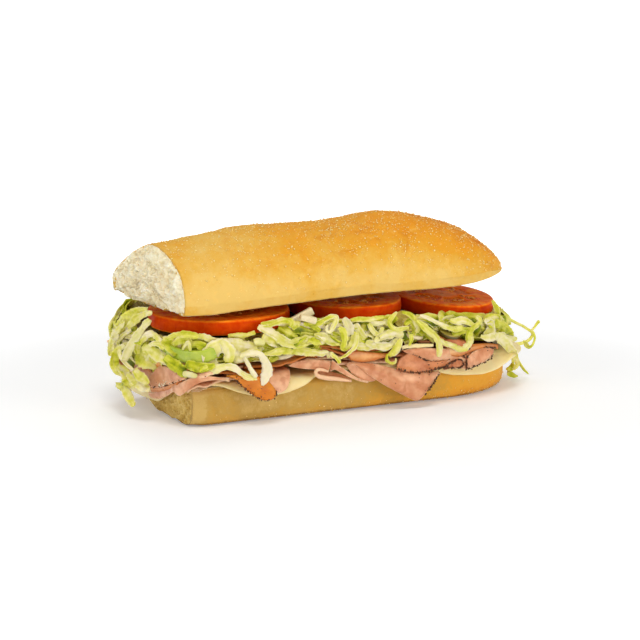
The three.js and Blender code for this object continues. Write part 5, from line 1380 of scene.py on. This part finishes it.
def fold_rims():
    """pepper along the rims of the right-hand folds"""
    rng = np.random.default_rng(23)
    j = Join()
    # sheet, normals, upper / lower edge or an end, from-to along it, how many
    for P, N, where, a, b, n, spread in [(PA, NA, "low", 0.02, 1, 120, 1.2), (PA, NA, "top", 0.3, 0.85, 36, 1.0), (PB, NB, "low", 0, 1, 44, 1.0), (PB, NB, "top", 0, 1, 60, 1.0), (PC, NC, "low", 0.08, 0.98, 60, 0.8), (PC, NC, "left", 0, 1, 34, 0.8), (PD, ND, "low", 0.3, 1, 40, 1.4), (PC, NC, "top", 0.7, 1, 16, 1.0), (PT, NT, "low", 0.1, 0.68, 84, 1.7), (PT, NT, "low", 0.8, 0.97, 16, 1.4), (PH, NH, "low", 0.73, 0.99, 64, 1.0)]:
        nu, nv = P.shape[:2]
        i = (rng.uniform(a, b, n) * (nu - 1)).astype(int)
        k = np.clip(np.abs(rng.normal(0, 1.3 * spread, n)).astype(int), 0, nv - 1)
        if where == "low":
            k = nv - 1 - k
        if where == "left":
            k = (rng.uniform(a, b, n) * (nv - 1)).astype(int)
            i = np.clip(np.abs(rng.normal(0, 1.4, n)).astype(int), 0, nu - 1)
        at = P[i, k] + (P[np.minimum(i + 1, nu - 1), k] - P[i, k]) * rng.uniform(0, 1, (n, 1))
        j.add(*grains(rng, at + rng.normal(0, 0.16, (n, 3)), N[i, k], np.clip(rng.lognormal(math.log(0.27), 0.45, n), 0.13, 0.58), 0.8, 0.25))
    for P, N, n in [(PA, NA, 16), (PC, NC, 6), (PT, NT, 12), (PH, NH, 7)]:
        i, k = rng.integers(2, P.shape[0] - 2, n), rng.integers(2, P.shape[1] - 2, n)
        j.add(*grains(rng, P[i, k], N[i, k], np.clip(rng.lognormal(math.log(0.2), 0.4, n), 0.1, 0.4), 0.8, 0.25))
    j.build("ground_pepper_rims", M_GRAIN, slot="peppered_ham")


fold_rims()

ROLL = Join()
hero(ROLL, [(328, 371.6), (321.4, 369.6), (317, 370.2), (315.8, 373.2), (318.4, 376.2), (326.4, 378), (337, 379), (351, 381)], [2.4, 2.8, 3.2, 3.6, 3.8, 4, 3.6, 2.4], 0.5, out=0.6, thick=0.8, ruffle=0.05, cup=0.3, weave=0.1, crisp=0.1)
ROLL.build("fold_ham_roll", M_HAM, slot="ham")

# thin ends of the strands at the round end
TIPS = Join()
for pts, w in [([(531, 331), (534.6, 327), (537.6, 322.6), (539.4, 321.4)], [2.4, 2.2, 3, 4]), ([(532.6, 331), (534.8, 337), (533.2, 343.6), (529.6, 347.4), (526.4, 345.4), (525.4, 342.4)], [2.2, 2.2, 2.4, 3, 4, 3]), ([(523, 340.6), (526, 343), (529, 347)], [2, 2.6, 3])]:
    hero(TIPS, [(a, b, 0) for a, b in pts], w, 0.5, out=1.0, thick=0.5, ruffle=0.1, cup=0.1, weave=0, crisp=0.3)
TIPS.build("lettuce_tips", M_LEAF, slot="lettuce")


# pale ribs, tone 0 white to 1 green
RIB = Join()
LEAF = Join()
H = lambda pts, w, tone, **kw: hero(LEAF, pts, w, tone, **kw)
R_ = lambda pts, w, tone, **kw: hero(RIB, pts, w, tone, **{**dict(thick=1.0, ruffle=0.08), **kw})
# middle of the front
H([(261, 325), (270, 324), (279, 321.5), (286, 320), (290.5, 322), (290.5, 326.5)], [5, 6, 6.5, 6, 6, 5], [0.6, 0.55, 0.5, 0.75, 0.5, 0.6], out=0.8)
H([(258, 326.5), (270, 332), (280, 338), (288, 343), (297, 345.2), (305, 344), (313, 341)], [6, 8, 9, 8, 6, 4.5, 4], [0.3, 0.3, 0.35, 0.35, 0.45, 0.5, 0.5], out=1.4)
H([(292, 340.5), (299, 339.5), (306, 338), (313, 339), (320, 339.6), (326, 341)], [4, 5, 6, 6, 7, 6], [0.55, 0.6, 0.45, 0.35, 0.1, 0.4], out=1.1)
H([(314, 335), (321, 336), (330, 340), (338, 341.5), (344, 340), (348, 336)], [4, 7, 9, 9, 8, 5], [0.5, 0.5, 0.5, 0.55, 0.5, 0.45], out=0.6, ruffle=0.4)
H([(339, 327), (342.5, 330), (345, 336), (344.5, 343), (343, 348.5), (346.5, 349), (350.5, 344), (354, 338), (356.5, 332)], [4, 7, 7, 6, 5, 4, 5, 6.5, 6], [0.6, 0.6, 0.62, 0.6, 0.55, 0.45, 0.4, 0.35, 0.35], out=2.2, cup=0.3)
H([(357, 335), (356, 343), (353, 349), (347, 354.5), (342, 357.5), (337, 359.5)], [5, 5, 4, 3, 2.5, 2.5], [0.4, 0.35, 0.4, 0.4, 0.45, 0.5], out=2.6)
H([(330.5, 352), (333, 355.5), (337, 358.5), (340, 363)], [2, 4, 4, 3], 0.42, out=2.6)
H([(264, 354.5), (273, 353), (283, 350.5), (293, 349.6), (302, 351), (312, 352), (320, 353.6), (327, 352.5), (329.5, 357.5)], [4, 6, 8, 9, 8.5, 7, 6, 5, 4], [0.4, 0.45, 0.5, 0.55, 0.5, 0.42, 0.35, 0.32, 0.4], out=1.2, ruffle=0.35)
H([(303.5, 323.7), (310, 325), (316.5, 328.5), (320, 331.2)], [4, 5, 4.5, 3], [0.8, 0.75, 0.7, 0.7], out=1.8)
H([(309, 326), (319, 323), (325, 319.5), (331, 316.8), (336, 317), (335.5, 321), (333.5, 326), (332, 329.5), (329, 332), (326.5, 329.5), (328, 325)], [4, 5, 4.5, 4.5, 5, 5.5, 4.5, 3.5, 2.8, 2.8, 2.5], [0.6, 0.6, 0.55, 0.45, 0.35, 0.35, 0.3, 0.25, 0.25, 0.25, 0.3], out=1.6)
R_([(344.5, 317.5), (347, 323), (349.5, 329), (350.5, 335)], [5, 8, 8, 6], [0.1, 0.25, 0.15, 0.3], out=0.9, thick=0.4)
H([(351, 320), (359, 319), (367, 319.3), (375, 318.6), (385, 316.8)], [4, 5, 5.5, 4.5, 3.5], [0.6, 0.65, 0.6, 0.6, 0.6], out=0.9)
H([(356, 323.5), (359, 330.5), (362, 335), (366, 338)], [5, 7, 7, 4], [0.4, 0.45, 0.4, 0.4], out=0.8)
H([(291, 328), (296, 324), (300, 325)], [5, 7, 5], [0.55, 0.5, 0.55], out=0.3)
H([(278, 328), (286, 331.5), (293, 335), (297, 339)], [6, 8, 7, 5], [0.72, 0.68, 0.62, 0.65], out=0.3, ruffle=0.4)
H([(263, 335), (271, 341), (279, 345)], [6, 8, 6], [0.35, 0.3, 0.35], out=0.8)
R_([(254, 342.5), (259, 341.5), (264.5, 343)], [6, 7, 6], [0.6, 0.45, 0.6], out=1.0, thick=1.2, cup=0.05, crisp=0.3)
H([(293, 331), (301, 330), (310, 333), (318, 334)], [6, 8, 7, 5], [0.78, 0.82, 0.8, 0.7], out=-0.4, ruffle=0.4)
H([(330, 333), (337, 336), (342, 340)], [5, 7, 6], [0.8, 0.75, 0.7], out=-0.4)
H([(300, 335), (309, 336), (318, 335)], [6, 7, 6], [0.65, 0.6, 0.6], out=-0.2)
# right part of the front
R_([(369, 322), (376, 323.5), (383, 323), (387, 320)], [3, 4.6, 4.4, 3], [0.6, 0.5, 0.55, 0.6], out=0.4, thick=0.4)
H([(368.5, 324), (373, 331), (377, 335), (381, 335.4)], [4, 5, 4.5, 4], [0.35, 0.3, 0.3, 0.4], out=1.2)
H([(382.5, 327), (381, 333), (378.5, 338), (374, 341)], [3.5, 4.5, 5, 4], [0.35, 0.3, 0.25, 0.3], out=1.6)
H([(397, 312), (392.2, 317), (389.5, 322), (391.5, 327), (397, 329.6), (403, 328.6), (409, 327.5)], [2.5, 3.5, 4, 4.5, 4.5, 4.5, 4], [0.5, 0.55, 0.6, 0.55, 0.4, 0.35, 0.4], out=1.4)
H([(402, 312), (409, 314), (413, 317.5), (416.3, 323), (417.6, 328), (416, 332.5)], [3, 4.5, 5.5, 6, 5.5, 4], [0.6, 0.6, 0.58, 0.55, 0.5, 0.5], out=1.3)
H([(405, 325), (410, 321), (414, 326), (414, 333), (411, 339)], [4, 6, 6, 5, 3], [0.66, 0.7, 0.66, 0.6, 0.55], out=0.6, ruffle=0.4)
H([(417, 320), (423.5, 326), (428.5, 330.8), (434, 335), (437.5, 340), (439.3, 347), (439.3, 353), (438.6, 357)], [3.5, 6, 6.5, 5.5, 6, 6.5, 6.5, 5], [0.5, 0.48, 0.4, 0.42, 0.4, 0.35, 0.3, 0.28], out=2.6)
H([(436, 337), (443.5, 343), (451, 345.4), (458, 348.2), (463, 348.6), (467.5, 345.5), (470, 340.5), (469, 336), (471.5, 330.6), (477.5, 325), (480, 320.6), (476, 316.6)], [3.5, 5, 5.5, 5.5, 6.5, 7.5, 8, 6.5, 6, 6, 5.5, 4], [0.35, 0.35, 0.4, 0.42, 0.5, 0.35, 0.35, 0.6, 0.62, 0.45, 0.4, 0.4], out=2.2, cup=0.2)
H([(420, 315.6), (427, 318), (434, 321), (441, 324.5), (448, 327.5), (455, 329), (463, 327)], [3, 3.5, 4, 4.5, 5, 5.5, 5], [0.05, 0.1, 0.15, 0.2, 0.4, 0.5, 0.6], out=1.5)
H([(450, 320), (456.5, 321.5), (463, 320.8), (470, 323), (475, 327)], [5, 7, 7, 6, 5], [0.4, 0.35, 0.35, 0.35, 0.4], out=1.4)
H([(452, 333.5), (459, 331.6), (466, 331), (472, 334)], [5, 7, 8, 6], [0.62, 0.6, 0.62, 0.5], out=0.7)
H([(380, 338.4), (387.6, 335), (395, 333.4), (403.5, 335.5)], [6, 9, 9, 6], [0.3, 0.3, 0.28, 0.35], out=2.0)
H([(366, 341.5), (370, 343.4), (377, 345.4), (384, 346), (390.6, 344.6), (395.5, 341.5), (401, 338)], [6, 7, 7.5, 7.5, 6.5, 5.5, 5], [0.3, 0.28, 0.28, 0.3, 0.35, 0.35, 0.4], out=1.4)
H([(350, 342), (357, 345.5), (364, 346.4), (371, 346), (376, 347)], [5, 7, 8, 7, 5], [0.35, 0.3, 0.3, 0.32, 0.4], out=1.2)
H([(401, 338.5), (398.6, 345), (395.4, 350), (391.8, 353.6), (389, 356)], [5, 7.5, 8, 6, 4], [0.35, 0.38, 0.42, 0.5, 0.6], out=3.2, cup=0.25)
H([(387, 354), (387.2, 360), (391, 363.6), (395, 362), (396.3, 358.4)], [2.5, 4, 4, 3, 2], [0.8, 0.75, 0.6, 0.5, 0.4], out=4.0, turn=40)
H([(410.5, 334), (411.5, 339), (409, 346)], [4, 4, 2], [0.55, 0.55, 0.5], out=3.0)
H([(424, 331), (430, 338), (434, 343)], [4, 5, 3], [0.6, 0.55, 0.5], out=0.6)
H([(485, 319), (490.8, 323), (489.6, 331), (485, 337)], [5, 8, 9, 6], [0.3, 0.3, 0.35, 0.35], out=1.0)
H([(481, 336), (488.3, 337.6), (496.6, 336.8), (505, 343), (513, 351.4), (516, 357.4), (517.4, 364), (513.6, 369.6)], [5, 7, 10, 11, 8, 5.5, 4.5, 4], [0.3, 0.3, 0.3, 0.28, 0.25, 0.3, 0.35, 0.4], out=2.4, cup=0.2)
H([(489, 326), (496, 324), (502, 326), (508, 331.5), (512, 338)], [6, 9, 10, 9, 5], [0.66, 0.7, 0.74, 0.7, 0.6], out=0.8, ruffle=0.4)
H([(492.6, 300.5), (496.2, 308), (498, 315), (499, 322)], [3.5, 5, 5, 5], [0.7, 0.6, 0.5, 0.5], out=0.0)
H([(484, 322), (491, 318), (497, 317), (503, 322)], [6, 8, 8, 5], [0.5, 0.42, 0.45, 0.5], out=0.4)
H([(501, 333), (508, 338), (517, 339)], [6, 6, 4], [0.3, 0.28, 0.3], out=1.4)
# above and beside the green pepper
H([(167, 339), (174.4, 336), (182.8, 334.2), (192.8, 334.7), (198.5, 337.4)], [4, 5.5, 6, 6, 4], [0.66, 0.62, 0.66, 0.66, 0.7], out=2.4)
H([(162, 339.5), (168, 343), (173, 348.6), (178.3, 353.5)], [8, 11, 11, 8], [0.5, 0.58, 0.62, 0.7], out=1.8, ruffle=0.4)
H([(173, 345), (178.6, 341), (184.6, 339.6), (189, 343), (187, 348), (184.4, 351.6)], [5, 7, 7.5, 7, 6, 4], [0.62, 0.62, 0.66, 0.6, 0.62, 0.66], out=2.2, cup=0.3)
R_([(182.4, 350), (185, 345), (188.4, 342.4), (190, 347), (190.4, 351)], [2.2, 3, 3.4, 3, 2.2], [0.6, 0.5, 0.4, 0.6, 0.8], out=3.2, thick=0.4)
H([(189, 346.5), (196.6, 344.2), (203.5, 346.3), (209.4, 347.6)], [5, 7, 7, 4], [0.76, 0.72, 0.74, 0.8], out=1.6, ruffle=0.3)
H([(186, 353), (194, 352), (202, 352), (208, 349)], [6, 8, 8, 5], [0.8, 0.84, 0.82, 0.8], out=0.6)
H([(225, 340.5), (219, 345), (211.5, 350), (208.4, 355), (212, 361), (216, 365.4)], [8, 12, 15, 15, 13, 8], [0.3, 0.32, 0.38, 0.4, 0.38, 0.4], out=2.2, cup=0.1, ruffle=0.35)
H([(222, 340.5), (226.4, 347), (229.4, 354.5), (228.6, 362.6)], [8, 10, 10, 7], [0.25, 0.28, 0.4, 0.6], out=2.6, cup=0.15)
H([(227, 349.5), (234, 356), (240, 357.6), (247, 354.5), (254, 352), (261, 352)], [6, 9, 9, 8, 7, 5], [0.35, 0.32, 0.3, 0.28, 0.3, 0.35], out=2.4, ruffle=0.35)
H([(222, 342), (231, 345), (241, 346.4), (250, 348.5), (257, 350)], [9, 13, 13, 12, 8], [0.36, 0.32, 0.34, 0.36, 0.4], out=0.6, ruffle=0.5)
H([(198, 335.6), (207, 338), (216, 341.4)], [5, 7, 6], [0.45, 0.4, 0.4], out=0.6)
H([(228, 336), (238.7, 335.6), (247, 335), (255, 332)], [4, 5, 5, 4], [0.5, 0.42, 0.45, 0.5], out=-1.4)
R_([(244.6, 356.6), (248, 364), (251.4, 370.4), (256.6, 377)], [3, 4, 4.4, 5], [0.2, 0.12, 0.1, 0.12], out=4.4, thick=0.6)
H([(203, 375), (208.6, 371.4), (215, 368.8), (223, 367), (231, 367), (237.4, 369.6), (242.4, 374.4), (248.6, 377.6), (257, 378)], [6, 8, 8.5, 8, 7, 6, 6, 5.5, 5], [0.25, 0.2, 0.3, 0.34, 0.28, 0.2, 0.2, 0.25, 0.3], out=4.2, ruffle=0.2)
R_([(240, 356.5), (246.6, 354.6), (253.6, 353.4), (260, 354.8), (264.6, 360), (267, 366), (266.8, 372.6), (264.6, 378.6), (262.2, 385.6)], [4, 5.5, 6, 6.5, 7, 9, 10, 8.5, 2.5], [0.35, 0.25, 0.15, 0.1, 0.05, 0.02, 0.02, 0.04, 0.1], out=4.1, thick=0.4, cup=0.25)
R_([(182.6, 374), (189, 374.4), (197, 376.4)], [3.4, 5.6, 3.4], [0.5, 0.3, 0.5], out=5.9, thick=0.25)
H([(164, 358), (174.4, 365), (182.8, 370.6), (189, 375.5)], [8, 11, 11, 7], [0.72, 0.84, 0.86, 0.8], out=5.4, cup=0.15)
H([(186, 363), (196, 367), (206, 367), (215, 365)], [7, 10, 8, 5], [0.76, 0.8, 0.7, 0.6], out=4.8)
H([(199.4, 371.4), (203.6, 369), (208, 367)], [4, 5.5, 4], [0.62, 0.6, 0.55], out=5.6)
# left of the green pepper and the cut end
H([(140, 343.6), (145, 337.4), (150.6, 333.6), (157, 337.6), (163, 344)], [4, 5.5, 7, 6, 4.5], [0.45, 0.3, 0.12, 0.35, 0.3], out=2.4)
H([(148, 346.5), (153.4, 343.9), (159, 344.2), (164, 349)], [3, 4.5, 5, 4], [0.35, 0.3, 0.3, 0.4], out=2.8)
H([(142, 350), (149.6, 349.4), (156, 353), (162, 356.6), (167, 361)], [8, 11, 11, 10, 6], [0.5, 0.55, 0.42, 0.3, 0.35], out=2.2, ruffle=0.35)
H([(141, 341), (137, 347), (137.6, 354)], [5, 7, 4], [0.5, 0.45, 0.4], out=1.8)
H([(133, 341.4), (137, 342), (141, 344)], [3, 5, 3], [0.72, 0.76, 0.66], out=3.2)
R_([(149.4, 319.6), (144.6, 325.4), (139, 333), (133.4, 342), (127.8, 351.6), (123.6, 360.6)], [5.5, 6.5, 7.5, 8.5, 8, 6], [0.5, 0.35, 0.45, 0.3, 0.4, 0.3], out=3.4, thick=0.6, cup=0.14)
H([(147, 309.6), (140, 310), (133, 313), (126.4, 319), (121, 326), (116.4, 335), (112.6, 343), (111, 350)], [4, 7, 9, 10, 10.5, 10, 8.5, 5], [0.5, 0.4, 0.55, 0.42, 0.34, 0.42, 0.36, 0.3], out=1.4, ruffle=1.0, waves=6.4, cup=0.1)
H([(152, 312.6), (146, 313.6), (139, 317), (133, 322), (127.6, 328)], [4, 6, 7.5, 7, 4], [0.4, 0.36, 0.5, 0.42, 0.4], out=1.8, ruffle=0.7, waves=4)
H([(124, 321), (119, 329), (114.6, 337), (111.6, 345)], [4, 6, 6.5, 4], [0.24, 0.3, 0.24, 0.3], out=2.6, ruffle=0.6, waves=4, turn=[0, 30, -20, 10])
H([(131, 330), (126, 333), (120.6, 338.6), (117.4, 345)], [3, 4.6, 4.4, 3], [0.3, 0.26, 0.3, 0.3], out=0.6, ruffle=0.4, waves=3)
H([(125, 345.6), (119, 349), (115.4, 354.6), (114.6, 361), (115, 366.6), (118.6, 371.6), (124, 374.4)], [4, 6.5, 8, 9, 9, 8.5, 6], [0.2, 0.35, 0.5, 0.52, 0.4, 0.36, 0.35], out=2.6, ruffle=0.55, waves=3.0)
H([(118.6, 349.4), (120.6, 356.6), (126, 364), (133, 370)], [3, 3.4, 3.6, 3], [0.04, 0.06, 0.1, 0.15], out=3.6)
H([(118, 366), (124, 371), (128.4, 377), (128, 383), (122.6, 386.4), (116.4, 384.6)], [6, 9, 11, 11, 9, 5], [0.4, 0.45, 0.5, 0.66, 0.72, 0.5], out=3.0, ruffle=0.6, waves=2.6)
H([(134, 370), (139, 375.4), (144, 379), (148, 384)], [6, 9, 9, 6], [0.36, 0.38, 0.45, 0.4], out=3.6, ruffle=0.4)
H([(131, 386), (137, 382.4), (143, 386), (148.6, 391.4)], [6, 10, 10, 6], [0.4, 0.3, 0.28, 0.2], out=4.0, ruffle=0.4)
H([(122.6, 386.6), (127, 394), (131, 400.6), (134, 406)], [6, 8, 8, 6.5], [0.4, 0.4, 0.42, 0.5], out=4.0)
H([(128, 372.4), (131.4, 378), (135, 384)], [5, 7, 5], [0.3, 0.3, 0.3], out=3.4)
H([(113, 345), (110.4, 350), (110, 356)], [5, 7, 5], [0.35, 0.38, 0.35], out=1.6)
LEAF.build("lettuce_long", M_LEAF, slot="lettuce")
RIB.build("lettuce_white", M_RIB, slot="lettuce")

ALL = (0, ROUND)
# under layer, deep, in the darker leaf colours that paint its shade, then middle and top layers
shreds(101, 150, ALL, (-7.5, 8), (16, 38), (2.6, 5.0), (0.35, 0.55), (-3.4, -1.8), (0.6, 0.2), S=17, K=5).build("lettuce_under", M_DEEP, slot="lettuce")
shreds(102, 140, ALL, (-6.5, 7.2), (18, 46), (2.0, 4.0), (0.35, 0.55), (-2.2, -0.6), (0.56, 0.2), S=25, K=6).build("lettuce_shreds", M_LEAF, slot="lettuce")
shreds(103, 60, ALL, (-5.5, 5.5), (12, 24), (5.0, 8.0), (0.35, 0.5), (-1.8, -0.3), (0.66, 0.15), S=20, K=7, curl=0.8, ruffle=0.1, cup=0.35, twist=0.7, taper=(0.7, 0.7)).build("lettuce_leafy", M_LEAF, slot="lettuce")
shreds(104, 34, ALL, (-6, 6.5), (12, 34), (2.0, 3.6), (0.7, 1.2), (-1.9, -0.2), (0.35, 0.2), S=26, K=6, curl=0.8, ruffle=0.03, cup=0.2, twist=0.5, wave=0.7, taper=(0.9, 0.9)).build("lettuce_ribs", M_RIB, slot="lettuce")


# over the heap's shoulder
shreds(106, 120, ALL, (7, 14), (14, 34), (2.4, 4.6), (0.3, 0.5), (-2.8, -1.2), (0.6, 0.2), S=17, K=5).build("lettuce_upper", M_LEAF, slot="lettuce")


def away():
    """the outermost long shreds at the back and round end"""
    t0, t1 = _s[20 * 16], _s[31 * 16]
    shreds(105, 52, (t0, t1), (-5, 5.5), (24, 56), (2.4, 4.8), (0.35, 0.5), (-0.2, 1.0), (0.42, 0.16), S=27, K=7, curl=1.5, twist=0.6, wave=1.0).build("lettuce_back", M_LEAF, slot="lettuce")


away()

# ================================================================= camera, light and floor
scene = bpy.context.scene
az, el = math.radians(-27.5), math.radians(11)
back = Vector((math.sin(az) * math.cos(el), -math.cos(az) * math.cos(el), math.sin(el)))
right = Vector((math.cos(az), math.sin(az), 0))
up = back.cross(right)
cam = bpy.data.cameras.new("camera")
cam.sensor_width = 36
cam.lens = 3036 * 36 / 640
cam.clip_start, cam.clip_end = 0.05, 50
co = bpy.data.objects.new("camera", cam)
R = Matrix((right, up, back)).transposed().to_4x4()
co.matrix_world = Matrix.Translation((-0.5644, -1.07407, 0.26656)) @ R
scene.collection.objects.link(co)
scene.camera = co


# the lower of the two onion sticks, in front of the heap
BIT = Join()
hero(BIT, [(300.6, 317.2), (308, 318.8), (315.4, 321)], [6.4, 6.8, 6.4], 0.85, out=2.6, thick=2.2, ruffle=0.02, cup=0.05, weave=0, crisp=0.05, taper=(0.94, 0.94))
BIT.build("onion_piece_2", M_ONION, slot="onion", replaces=["onion_stick_2"])


def floor():
    m = Mat("table", rough=0.6, spec=0.2)
    n = m.noise(0.01, 2)
    mat = m.set(m.mix(n, (0.84, 0.865, 0.91, 1), (0.86, 0.885, 0.93, 1)))
    # the floor glows as painted light, faint within 120 mm of the middle and full from 400 mm out, so the floor near
    # the sandwich stays darker: painted shade around it
    m.b.inputs["Emission Color"].default_value = (0.98, 0.99, 1, 1)
    x, y, z = m.sep()
    far = m.math("SQRT", m.math("ADD", m.math("POWER", x, 2.0), m.math("POWER", y, 2.0)))
    m.put(m.b.inputs["Emission Strength"], m.range(far, 120, 400, 0.2, 1.0, True))
    V = np.array([[-4000, -4000, -0.2], [4000, -4000, -0.2], [4000, 4000, -0.2], [-4000, 4000, -0.2]], float)
    me = bpy.data.meshes.new("floor")
    me.from_pydata([tuple(v * MM) for v in V], [], [(0, 1, 2, 3)])
    me.materials.append(mat)
    o = bpy.data.objects.new("floor", me)
    scene.collection.objects.link(o)


floor()


def area(name, loc, size, watts, color=(1, 1, 1), target=(0, 0, 0.035)):
    d = bpy.data.lights.new(name, "AREA")
    d.shape = "DISK"
    d.size = size
    d.energy = watts
    d.color = color
    o = bpy.data.objects.new(name, d)
    o.location = loc
    o.rotation_mode = "QUATERNION"
    o.rotation_quaternion = (Vector(loc) - Vector(target)).to_track_quat("Z", "Y")
    scene.collection.objects.link(o)


area("key", (-0.35, -0.72, 1.5), 0.7, 10.5, (1.0, 0.965, 0.9))
area("side", (-1.5, -0.35, 0.55), 0.8, 4.2, (1.0, 0.98, 0.94))
area("fill", (0.6, -1.5, 0.42), 0.8, 6.3, (1.0, 0.97, 0.92))
area("rim", (0.3, 0.7, 1.3), 0.8, 4, (1.0, 0.98, 0.94))
world = bpy.data.worlds.new("world")
scene.world = world
world.use_nodes = True
world.node_tree.nodes["Background"].inputs[0].default_value = (1, 0.975, 0.93, 1)
world.node_tree.nodes["Background"].inputs[1].default_value = 0.4
scene.view_settings.view_transform = "Standard"
scene.view_settings.look = "None"
scene.view_settings.exposure = 0.0
scene.cycles.use_denoising = True
